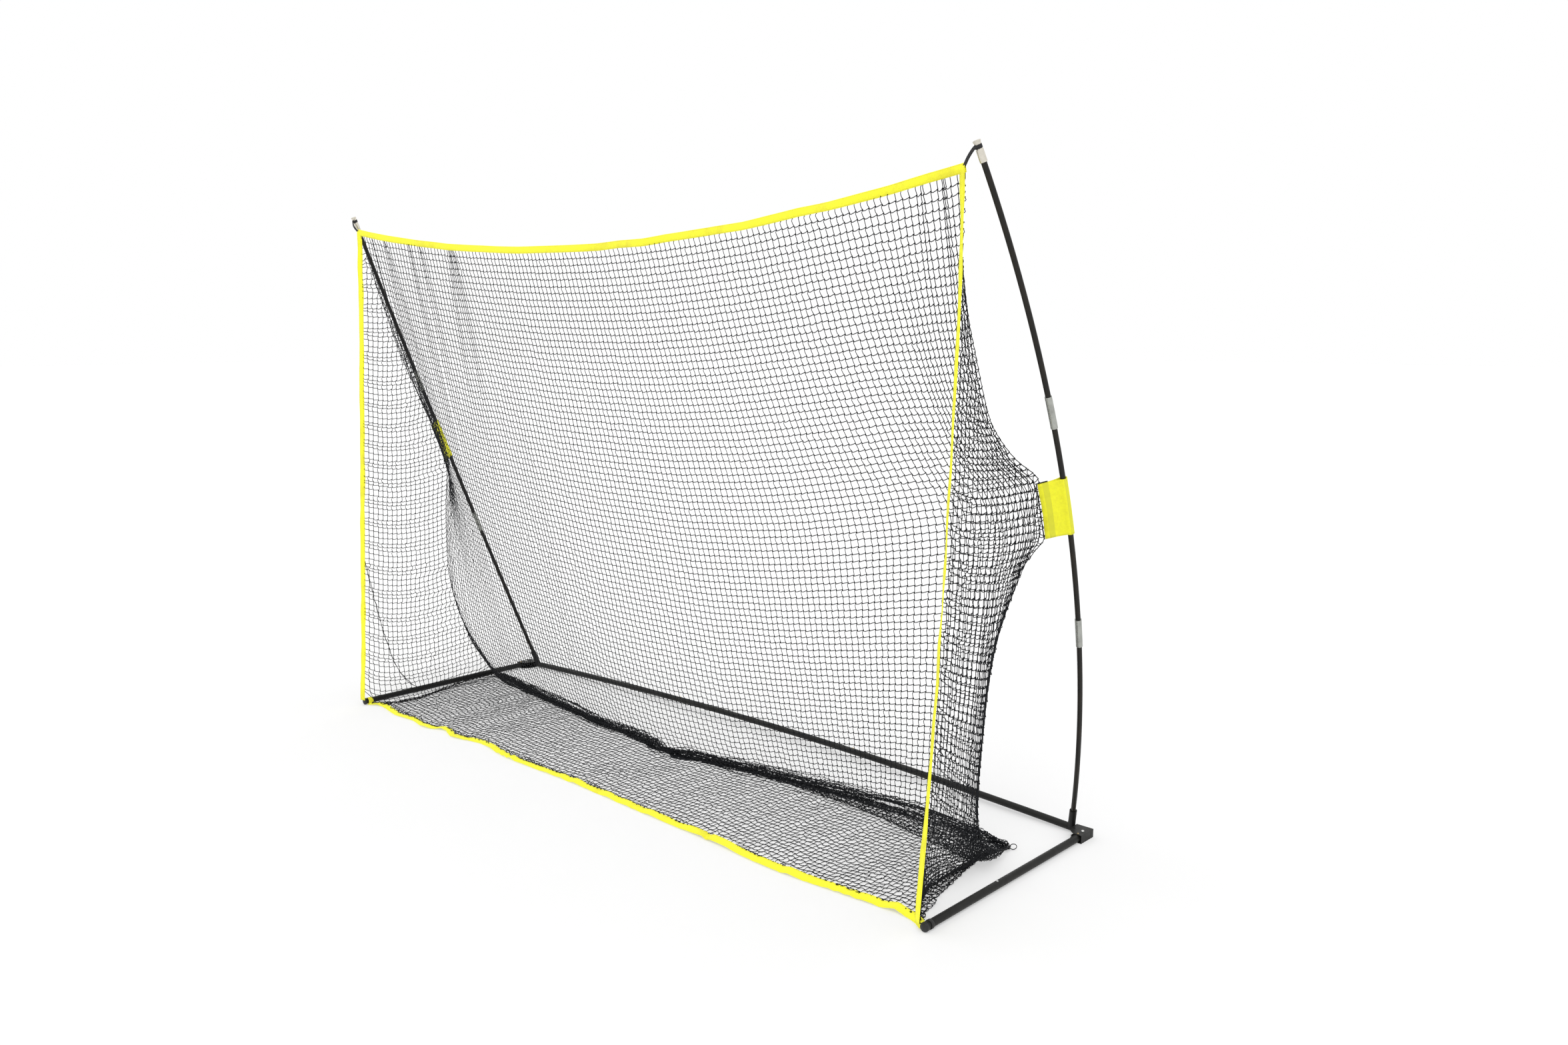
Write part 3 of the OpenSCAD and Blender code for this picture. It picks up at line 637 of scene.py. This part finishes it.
                # rows are sewn to the border in bunches
                t = i + .38 * math.sin(2 * math.pi * i / 4.6 + 1.3 * math.sin(i * .13))
                zf = FRONT_FOOT[2] + (CORNER[2] - BORDER_W - FRONT_FOOT[2]) * (1 - t / last)
                a = side_line(np.array([zf]))[0] * [side, 1, 1]
                a += [-.008, .010, 0] if side == 1 else [.022 - border_bow(zf), .002, 0]
                b = side_seam[side][i]
                for q in range(k):
                    line[q] = count
                    count += 1
                    extra_pos.append(a + (b - a) * q / k)
            nodes.append(line)
        sides[side] = nodes
    pos = np.vstack([pos, np.array(extra_pos)])
    pinned = np.concatenate([pinned, np.zeros(len(extra_pos), bool)])
    heap = np.concatenate([heap, np.zeros(len(extra_pos), bool)])
    for side in (1, -1):
        for line in sides[side]:
            pinned[line[[0, -1]]] = True

    # strands: pairs of knots, direction (0 across, 1 down), panel (0 wall, 1 floor, 2 and 3 sides)
    pairs, kind, panel = [], [], []

    def add(a, b, way, where):
        a, b = np.ravel(a), np.ravel(b)
        pairs.append(np.stack([a, b], 1))
        kind.append(np.full(len(a), way))
        panel.append(np.full(len(a), where))

    for g, where in ((grid[:rows + 1], 0), (grid[rows:], 1)):
        add(g[1:, :-1], g[1:, 1:], 0, where)
        add(g[:-1, 1:-1], g[1:, 1:-1], 1, where)
    # the creases themselves, down to the floor
    add(grid[:rows, [0, -1]], grid[1:rows + 1, [0, -1]], 1, 0)
    for side, where in ((1, 2), (-1, 3)):
        lines = sides[side]
        for i in range(1, SIDE_ROWS[side]):
            add(lines[i][:-1], lines[i][1:], 0, where)
        for i in range(SIDE_ROWS[side]):
            up, low = lines[i], lines[i + 1]
            n = min(len(up), len(low)) - 1
            if n > 0:
                add(up[1:n], low[1:n], 1, where)
            if len(low) > len(up) and len(up) > 1:
                add(up[-1:], low[-2:-1], 1, where)
    pairs, kind, panel = np.vstack(pairs), np.concatenate(kind), np.concatenate(panel)
    a, b = pairs.T
    start = np.linalg.norm(pos[a] - pos[b], axis=1)
    # a strand may give way a little from where it was laid out, and never beyond its twine
    rest = np.clip(start * 1.006, np.where(kind == 0, .004, .012), TAUT)
    loose = heap[a] | heap[b]
    rest[loose] = np.where(kind[loose] == 0, MESH_X, MESH_Z)
    rest = rest * (1 + .015 * rng.standard_normal(len(rest)))

    # groups of strands that share no knot, so each can be corrected at once
    row_of = np.zeros(len(pos), int)
    col_of = np.zeros(len(pos), int)
    row_of[grid], col_of[grid] = np.arange(total + 1)[:, None], np.arange(cols + 1)[None]
    for side in (1, -1):
        for i, line in enumerate(sides[side][:-1]):
            row_of[line], col_of[line] = i, np.arange(len(line))
    colour = kind * 2 + np.where(kind == 0, col_of[a] % 2, row_of[a] % 2) + 4 * (panel >= 2)
    groups = [np.where(colour == c)[0] for c in np.unique(colour)]
    inv = np.where(pinned, 0.0, 1.0)

    # small random starts, so that slack falls in natural creases
    free = ~pinned
    pos[free] += rng.standard_normal((free.sum(), 3)) * [.0022, .0022, .0018]
    crease = noise(cols + 1, 4, .006) + noise(cols + 1, 14, .008)
    fall = np.sin(np.linspace(0, math.pi, rows + 1)) ** .8
    wall = grid[:rows + 1]
    crease *= 1 - np.abs(u) ** 8
    pos[wall, 1] += (fall[:, None] * crease[None]) * free[wall]
    ripple = noise(cols + 1, 6, .006)
    flat = grid[rows:]
    wave = np.sin(np.linspace(0, 9, len(flat)))[:, None] * ripple[None]
    pos[flat, 1] += wave * free[flat]
    pos[:, 2] = np.maximum(pos[:, 2], KNOT_LOW)
    old = pos.copy()
    for _ in range(200):
        move = (pos - old) * .93
        old = pos.copy()
        # a small part of gravity, over a step of 1/110 s
        move[:, 2] -= 9.81 * (1 / 110) ** 2 * .12
        grounded = pos[:, 2] < .006
        move[grounded, :2] *= .15
        pos += np.clip(move, -.01, .01) * inv[:, None]
        for _ in range(10):
            for g in groups:
                i, j = a[g], b[g]
                d = pos[j] - pos[i]
                length = np.sqrt((d * d).sum(1)) + 1e-12
                w = inv[i] + inv[j]
                over = np.maximum(length - rest[g], 0) / (length * np.maximum(w, 1e-9))
                over[w == 0] = 0
                pos[i] += d * (over * inv[i])[:, None]
                pos[j] -= d * (over * inv[j])[:, None]
            low = (pos[:, 2] < KNOT_LOW) & free
            pos[low, 2] = KNOT_LOW

    # more of the bunched netting in the heap: bands two meshes wide, lying in and on one another
    layers, across = 6, cols - 10
    x = np.linspace(-1.46, 1.375, across)
    thick = np.clip(.35 + .65 * np.clip((x + 1.5) / .5, 0, 1), 0, 1) * np.clip((1.40 - x) / .12, .35, 1)
    for layer in range(layers):
        turn_at = 2 * math.pi * layer / layers
        wob = noise(across, 6, .006)
        for strip in range(2):
            y = fold_y(x) - .004 + thick * (.018 * math.cos(turn_at) + strip * .010) + wob + noise(across, 2, .003)
            y += heap_spread(x) * (2 * layer + strip) / (2 * layers)
            zz = .007 + thick * (.009 + .009 * math.sin(turn_at)) + noise(across, 2, .0025)
            ids = np.arange(len(pos), len(pos) + across)
            pos = np.vstack([pos, np.stack([x + noise(across, 2, .004), y, np.maximum(zz, .003)], 1)])
            pairs = np.vstack([pairs, np.stack([ids[:-1], ids[1:]], 1)])
            kind = np.concatenate([kind, np.zeros(across - 1, int)])
            panel = np.concatenate([panel, np.full(across - 1, 4)])
            if strip:
                pairs = np.vstack([pairs, np.stack([ids - across, ids], 1)])
                kind = np.concatenate([kind, np.ones(across, int)])
                panel = np.concatenate([panel, np.full(across, 4)])
    heap = np.concatenate([heap, np.ones(len(pos) - len(heap), bool)])
    draw = np.where(kind == 0, TWINE_X, TWINE_Z) * (1 + .02 * rng.standard_normal(len(kind)))
    return dict(pos=pos, pairs=pairs, draw=draw, kind=kind, panel=panel, grid=grid, heap=heap)


net = build_net()


def strand_mesh(sel):
    """Closed four-sided tubes for the chosen strands, each with its slack, and the knots on them."""
    pos, pairs = net["pos"], net["pairs"][sel]
    kind = net["kind"][sel]
    local = np.random.default_rng(5 + int(sel[0]))
    a, b = pos[pairs[:, 0]].copy(), pos[pairs[:, 1]].copy()
    m = len(a)
    dist = np.linalg.norm(b - a, axis=1)
    t = unit(b - a)
    sag = np.sqrt(np.clip(net["draw"][sel] - dist, 0, None) * np.maximum(dist, .006) * .375)
    sag = np.minimum(sag, .0065) * np.where(kind == 0, .75, .9)
    lying = (np.maximum(a[:, 2], b[:, 2]) < .008) | (net["heap"][pairs[:, 0]] | net["heap"][pairs[:, 1]])
    # slack hangs below a strand that runs across, and beside one that runs down
    way = local.standard_normal((m, 3)) * .45
    across = kind == 0
    way[across, 2] -= 1.3
    way[~across, 0] -= .9
    way[lying] = local.standard_normal((lying.sum(), 3)) * [.8, 1.0, .25] + [0, -.9, 0]
    way -= (way * t).sum(1)[:, None] * t
    way = unit(way)
    # each strand leaves its knots at a small step
    step = np.where(across[:, None], [[0, 0, .0020]], [[.0013, 0, 0]])
    step[lying] = np.where(across[lying, None], [[0, .0012, 0]], [[.0012, 0, 0]])
    a, b = a - step, b + step
    path = [a]
    for f, depth in ((.30, .98), (.66, .86)):
        path.append(a + (b - a) * f + way * (sag * depth)[:, None])
    path.append(b)
    path = np.stack(path, 1)                                              # m, 4, 3
    path[:, :, 2] = np.maximum(path[:, :, 2], TWINE_R + .0002)
    rings = path.shape[1]
    along = unit(np.gradient(path, axis=1))
    ref = np.where(np.abs(t[:, 2:]) > .8, [[0.0, 1.0, 0]], [[0, 0, 1.0]])[:, None]
    n1 = unit(np.cross(along, np.broadcast_to(ref, along.shape)))
    n2 = np.cross(along, n1)
    ring = np.stack([n1, n2, -n1, -n2], 2) * TWINE_R                      # m, rings, 4, 3
    v = path[:, :, None] + ring
    idx = np.arange(m * rings * 4).reshape(m, rings, 4)
    nxt = np.roll(idx, -1, 2)
    f = np.stack([idx[:, :-1], nxt[:, :-1], nxt[:, 1:], idx[:, 1:]], -1).reshape(-1, 4)
    f = np.vstack([f, idx[:, 0, ::-1], idx[:, -1]])
    v = v.reshape(-1, 3)
    knots = np.unique(pairs[:, 0])
    c = pos[knots] * 1.0
    c[:, 2] = np.maximum(c[:, 2], .0022)
    k = len(c)
    size = TWINE_R * (1.45 + .2 * local.standard_normal((k, 1)))
    lean = unit(local.standard_normal((k, 3)) * .5 + [-.6, 0, 1.0])
    side = unit(np.cross(lean, [0, 1.0, 0]))
    third = np.cross(lean, side)
    ends = np.stack([lean * 1.5, side, third, -side, -third, -lean * 1.5], 1) * size[:, None]
    kv = (c[:, None] + ends).reshape(-1, 3)
    tri = np.array([[0, 1, 2], [0, 2, 3], [0, 3, 4], [0, 4, 1], [5, 2, 1], [5, 3, 2], [5, 4, 3], [5, 1, 4]])
    kf = (np.arange(k)[:, None, None] * 6 + tri[None]).reshape(-1, 3)
    return v, f, kv, kf


def net_piece(name, sel, node):
    """The chosen strands as one mesh, of quads for the twine and triangles for the knots."""
    v, f, kv, kf = strand_mesh(sel)
    loops = np.concatenate([f.ravel(), (kf + len(v)).ravel()])
    starts = np.concatenate([np.arange(len(f)) * 4, len(f) * 4 + np.arange(len(kf)) * 3])
    o = mesh_object(name, np.vstack([v, kv]), loops, starts, M["twine"])
    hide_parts(node)
    return o


pan = net["panel"]
CORNERS = {1: "right", -1: "left"}
moving = {1: [], -1: []}     # pieces on each side of the net
knot_count = len(net["pos"])
col_a = np.zeros(knot_count, int)
row_a = np.zeros(knot_count, int)
col_a[net["grid"]] = np.arange(BACK_COLS + 1)[None]
row_a[net["grid"]] = np.arange(WALL_ROWS + DEPTH_ROWS + 1)[:, None]
first, second = net["pairs"].T
in_heap = (net["heap"][first] | net["heap"][second])
right_half = np.where(pan == 4, net["pos"][first, 0] >= 0, col_a[first] >= BACK_COLS // 2)


def net_panel(name, side, sel, node):
    """A panel of netting made of the chosen strands, kept with its side's pieces; each mesh is two strands.

    Half the twine's surface is .296 of the netting's outline. The area is given as OPEN_SHARE of width
    times length, just above the least that it takes.
    """
    o = net_piece(name, np.where(sel)[0], node)
    moving[side].append(o)


for side, name in CORNERS.items():
    half = right_half if side == 1 else ~right_half
    wall = (pan == 0) & ~in_heap & half
    for n, (lo, hi) in enumerate([(0, 36), (36, 70), (70, WALL_ROWS + DEPTH_ROWS)]):
        rows_here = (row_a[first] >= lo) & (row_a[first] < hi)
        net_panel(f"net_back_{name}_{n + 1}", side, wall & rows_here, "net_back")
    net_panel(f"net_floor_{name}", side, (pan == 1) & ~in_heap & half, "net_floor")
    loose = in_heap & half & (pan != 2) & (pan != 3)
    net_panel(f"net_fold_{name}", side, loose, "net_fold")
    net_panel(f"net_flank_{name}", side, pan == (2 if side == 1 else 3), f"net_side_{name}")

# ---------------------------------------------------------------- drawn-up edges of the floor panel, and a loose twine
def round_cord(name, paths, radius, last_across=(.8, .6, 0)):
    """One piece made of closed round cords along the paths; last_across starts the last one's section."""
    verts, faces, uvs, base = [], [], [], 0
    for p in paths:
        across = last_across if p is paths[-1] else (.8, .6, 0)
        p = np.asarray(p, float)
        p[:, 2] = np.maximum(p[:, 2], radius + .0002)
        v, f, uv = sweep(p, np.array(across) + .01, round_section(radius, 6))
        verts.append(v)
        faces.append(f + base)
        uvs.append(uv)
        base += len(v)
    o = new_mesh(name, np.vstack(verts), np.vstack(faces), M["seam"], np.vstack(uvs))
    return o


for side, name in CORNERS.items():
    col = BACK_COLS if side == 1 else 0
    knots = net["pos"][net["grid"][:, col]]
    # the floor edge: twine drawn together, wavy on the left and in small loops on the right
    n = 520
    edge_part = smooth_path(knots[WALL_ROWS:], n)
    t = np.gradient(edge_part, axis=0)
    out = unit(np.stack([t[:, 1], -t[:, 0], np.zeros(n)], 1))
    out *= np.sign((out[:, 0] * side).sum())
    run = distances(edge_part)
    paths = []
    for k in range(4 if side == 1 else 3):
        rise = .0035 + .0025 * np.sin(run * (300 + 40 * k) + k) + np.abs(noise(n, 12, .0015))
        if side == 1:
            reach = np.abs(noise(n, 22, .010)) * (.5 + .5 * np.sin(run * (380 + 45 * k) + 2 * k)) - .003
        else:
            reach = .0035 * np.sin(run * (230 + 30 * k) + 2.1 * k) + noise(n, 26, .0025)
        p = edge_part + out * reach[:, None]
        p[:, 2] += rise
        paths.append(p)
    if side == 1:
        # the mesh at the very corner stands up as a single loop
        a = np.linspace(-math.pi, math.pi, 28) * .97
        paths.append(edge_part[0] + [.0075, .0048, .007] + np.outer(.0105 * np.cos(a), [.84, .54, .1])
                     + np.outer(.009 * np.sin(a), [0, 0, 1]))
    else:
        # a twine that has come loose of the side panel's meshes
        cord_path = smooth_path([[-1.519, -.392 + SHIFT_Y, .640], [-1.517, -.362 + SHIFT_Y, .484],
                                 [-1.515, -.319 + SHIFT_Y, .296], [-1.514, -.274 + SHIFT_Y, .154],
                                 [-1.510, -.213 + SHIFT_Y, .060], [-1.500, -.150 + SHIFT_Y, .012]], 120)
        loose = [cord_path + np.stack([noise(120, 3, .001), noise(120, 3, .0022) + .002 * k, noise(120, 3, .001)], 1)
                 for k in (0, 1)]
        moving[side].append(round_cord("loose_twine_left", loose, .0011))
    # the corner's loop faces the front
    facing = (.54, -.84, 0) if side == 1 else (.8, .6, 0)
    moving[side].append(round_cord(f"floor_edge_cord_{name}", paths, .0013, facing))

# ---------------------------------------------------------------- yellow borders
def webbing_strip(name, path, across, width, thick, mat, node):
    """A strip of webbing along the path; its part in the model is hidden."""
    v, f, uv = sweep(path, across, flat_section(width, thick))
    o = new_mesh(name, v, f, M[mat], uv)
    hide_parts(node)
    return o


def border(name, path, across, node):
    """A border of yellow webbing."""
    return webbing_strip(name, path, across, BORDER_W, .0019, "webbing", node)


n = 420
x = np.linspace(-CORNER[0] + .001, CORNER[0] - .001, n)
path = top_line(x) + [0, -.0012, BORDER_W / 2 - .002]
path[:, 1] += noise(n, 12, .0012)
path[:, 2] += noise(n, 16, .0012)
across = np.tile([0, 0, 1.0], (n, 1))
across[:, 1] = noise(n, 14, .09)
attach(border("top_border_webbing", path, across, "top_border"), "floor_frame")

for side, name in CORNERS.items():
    n = 300
    z = np.linspace(CORNER[2] - BORDER_W * .35, FRONT_FOOT[2] - .018, n)
    path = side_line(z) * [side, 1, 1] + [0, -.0012, 0]
    path[:, 0] += noise(n, 15, .0010)
    path[:, 1] += noise(n, 12, .0010)
    across = np.tile([1.0, 0, 0], (n, 1))
    across[:, 1] = noise(n, 10, .12)
    if side == 1:
        # the pull of the netting turns the right border nearly sideways in its middle
        turned = np.interp(z, [0, .35, .60, .90, 1.20, 1.60, 1.85, 2.05], [24, 31, 39, 48, 45, 40, 34, 20])
        path[:, 0] -= BORDER_W / 2 * np.interp(turned, [20, 40], [.9, .15])
        across[:, 1] -= np.tan(np.radians(turned))
    else:
        path[:, 0] += BORDER_W / 2 - border_bow(z)
        across[:, 1] += .35
    moving[side].append(border(f"border_webbing_{name}", path, across, f"border_{name}"))

whole_x = np.linspace(-1.512, 1.512, 700)
whole_y = np.interp(whole_x, *smooth_path(np.column_stack([HEM, np.zeros(len(HEM))]), 500)[:, :2].T) + SHIFT_Y
lift = np.abs(noise(700, 9, .0035)) + .0022
lean = hem_tilt(whole_x)
twist = np.tan(lean) + noise(700, 11, .10)
whole = np.stack([whole_x, whole_y + BORDER_W / 2 * np.cos(lean), lift + BORDER_W / 2 * np.sin(lean)], 1)
for side, name in CORNERS.items():
    half = whole[:, 0] * side >= -.0045
    path = whole[half]
    across = np.tile([0, 1.0, 0], (len(path), 1))
    across[:, 2] = twist[half]
    moving[side].append(border(f"bottom_border_webbing_{name}", path, across, "bottom_border"))

# ---------------------------------------------------------------- sleeves
for side, name in CORNERS.items():
    rows = 26
    s = np.linspace(SLEEVE_S - SLEEVE_H / 2, SLEEVE_S + SLEEVE_H / 2, rows)
    axis = pole_point(s, side)
    tangent = unit(np.gradient(axis, axis=0))
    out = SLEEVE_OUT * [side, 1, 1]
    reach, r = SLEEVE_REACH, SLEEVE_R
    ring = []
    # outline seen along the pole: tab edge, one face, round the pole, other face, tab edge
    ang = np.linspace(-math.pi + .62, math.pi - .62, 18)
    for thick, order in ((0.0, 1), (.0011, -1)):
        pts = [(reach, .0007 + thick), (reach * .75, .0009 + thick), (reach * .5, .0012 + thick),
               (reach * .30, .0032 + thick)]
        pts += [(-(r + thick) * math.cos(x), -(r + thick) * math.sin(x)) for x in ang]
        pts += [(reach * .30, -.0032 - thick), (reach * .5, -.0012 - thick), (reach * .75, -.0009 - thick),
                (reach, -.0007 - thick)]
        ring.append(pts[::order])
    section = np.array(ring[0] + ring[1])
    m = len(section)
    verts = np.zeros((rows, m, 3))
    for i in range(rows):
        e1 = unit(out - (out @ tangent[i]) * tangent[i])
        e2 = np.cross(tangent[i], e1) * side
        edge_pull = 1 + .015 * math.cos(i / (rows - 1) * 2 * math.pi)
        wav = .0012 * math.sin(i * 1.3) + .0008 * math.sin(i * 2.9)
        verts[i] = axis[i] + np.outer(section[:, 0] * np.where(section[:, 0] > .02, edge_pull, 1), e1) \
            + np.outer(section[:, 1] + wav * np.clip(section[:, 0] / reach, 0, 1), e2)
    f = tube_faces(rows, m)[:, ::side]
    uv = np.stack([np.repeat(s[:, None], m, 1), np.tile(section[:, 0], (rows, 1))], -1).reshape(-1, 2)
    o = new_mesh(f"sleeve_cloth_{name}", verts.reshape(-1, 3), f, M["sleeve"], uv)
    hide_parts(f"pole_sleeve_{name}")
    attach(o, "floor_frame")
    # black cord along the net edge and round onto the top edge
    e1 = np.array([unit(out - (out @ t) * t) for t in tangent])
    edge_line = axis + e1 * (reach * 1.05 + .0012)
    edge_line[[0, -1]] -= e1[[0, -1]] * .001
    top_run = np.linspace(reach * 1.05, reach * .62, 10)
    over = axis[-1] + np.outer(top_run, e1[-1]) + tangent[-1] * .0022 + [0, -.0012, 0]
    for tag, line in (("side", edge_line), ("top", over)):
        line = smooth_path(line, 60)
        line += np.stack([noise(60, 3, .0004), noise(60, 3, .0004), np.zeros(60)], 1)
        v, f, uv = sweep(line, (.8, .6, .1), round_section(.0017, 8))
        q = new_mesh(f"sleeve_edge_cord_{tag}_{name}", v, f, M["seam"], uv)
        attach(q, "floor_frame")

# ---------------------------------------------------------------- black straps
for side, name in CORNERS.items():
    # collar round the tip's waist, and a band from it down to the net's corner
    centre = pole_point(TIP_WAIST_S, side)[0]
    axis = unit(pole_point(TIP_WAIST_S + .01, side)[0] - centre)
    e1 = unit(np.cross(axis, [0, 1.0, 0]))
    e2 = np.cross(axis, e1)
    a = np.linspace(0, 2 * math.pi, 41)
    collar = centre + STRAP_R * (np.cos(a)[:, None] * e1 + np.sin(a)[:, None] * e2)
    start = CORNER * [side, 1, 1] + [-side * .006, -.003, -.012]
    front = centre + [0, -STRAP_R - .0014, 0]
    band = smooth_path([start, (start + front) / 2 + [side * .001, -.006, 0], front + [-side * .003, 0, -.003],
                        centre + [side * .007, -STRAP_R * .6, .002]], 30)
    for part, path, wide in (("band", collar, axis), ("fall", band, unit([side * .8, 0, -.6]))):
        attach(webbing_strip(f"tip_strap_{part}_{name}", path, wide, .010, .0012, "black_strap",
                      f"tip_strap_{name}"), "floor_frame")

    # loop from the bottom corner round the side bar, behind its cap
    y0 = PIVOT_Y - .860 + .030
    a = np.linspace(-math.pi * .5, math.pi * 1.5, 49)
    loop = np.stack([side * BAR_X + LOOP_R * np.cos(a), np.full(49, y0), BAR_Z + LOOP_R * np.sin(a)], 1)
    loop[:, 2] = np.maximum(loop[:, 2], .0012)
    wide, mat = (.012, "black_strap") if side == 1 else (.022, "webbing")
    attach(webbing_strip(f"corner_loop_webbing_{name}", loop, (0, 1, 0), wide, .0013, mat,
                  f"corner_loop_{name}"), f"{name}_bar")

# ---------------------------------------------------------------- each side's pieces: back and heap netting go on the floor frame, the rest stay where they are
for side, name in CORNERS.items():
    for o in moving[side]:
        if o.name.startswith(("net_back", "net_fold")):
            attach(o, "floor_frame")
        elif o.name.startswith(("bottom", "net_floor", "floor_edge")):
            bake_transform(o)
        else:
            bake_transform(o)

# ---------------------------------------------------------------- stage, light, camera
# a pale floor with a little light of its own, as a lit studio sweep has, so that shadows on it stay faint
floor_mat = material("studio_floor", (.52, .52, .52), .95, Specular_IOR_Level=.0, Emission_Strength=.36)
floor_mat.node_tree.nodes["Principled BSDF"].inputs["Emission Color"].default_value = (1, 1, 1, 1)
g = Graph(floor_mat)
g.color(g.mix(g.remap(g.noise(1.5, 2), .3, .7), (.517, .517, .517), (.523, .523, .523)))
plane = new_mesh("studio_floor", [(-60, -60, 0), (60, -60, 0), (60, 60, 0), (-60, 60, 0)], [(0, 1, 2, 3)], floor_mat)
plane.location.z = -.0005

world = bpy.data.worlds.new("studio")
bpy.context.scene.world = world
world.use_nodes = True
world.node_tree.nodes["Background"].inputs[0].default_value = (1, 1, 1, 1)
world.node_tree.nodes["Background"].inputs[1].default_value = 1.0


def sun(name, elevation, azimuth, power, angle):
    """A wide soft light from that direction: azimuth 0 is the front, 90 the right."""
    data = bpy.data.lights.new(name, "SUN")
    data.energy = power
    data.angle = math.radians(angle)
    o = bpy.data.objects.new(name, data)
    bpy.context.scene.collection.objects.link(o)
    o.rotation_euler = (math.radians(90 - elevation), 0, math.radians(azimuth))


sun("key", 55, 30, .9, 25)
sun("fill", 40, -60, .35, 40)

cam_data = bpy.data.cameras.new("photo_view")
cam = bpy.data.objects.new("photo_view", cam_data)
bpy.context.scene.collection.objects.link(cam)
cam_data.sensor_width = 36
cam_data.lens = 1849 / 2352 * 36         # a focal length of 1849 pixels in a picture 2352 wide
cam_data.clip_end = 200
cam.location = (3.401, -3.000 + SHIFT_Y, 1.629)
cam.rotation_euler = (math.radians(90 - 8.86), 0, math.radians(42.99))
bpy.context.scene.camera = cam
bpy.context.scene.view_settings.view_transform = "Standard"
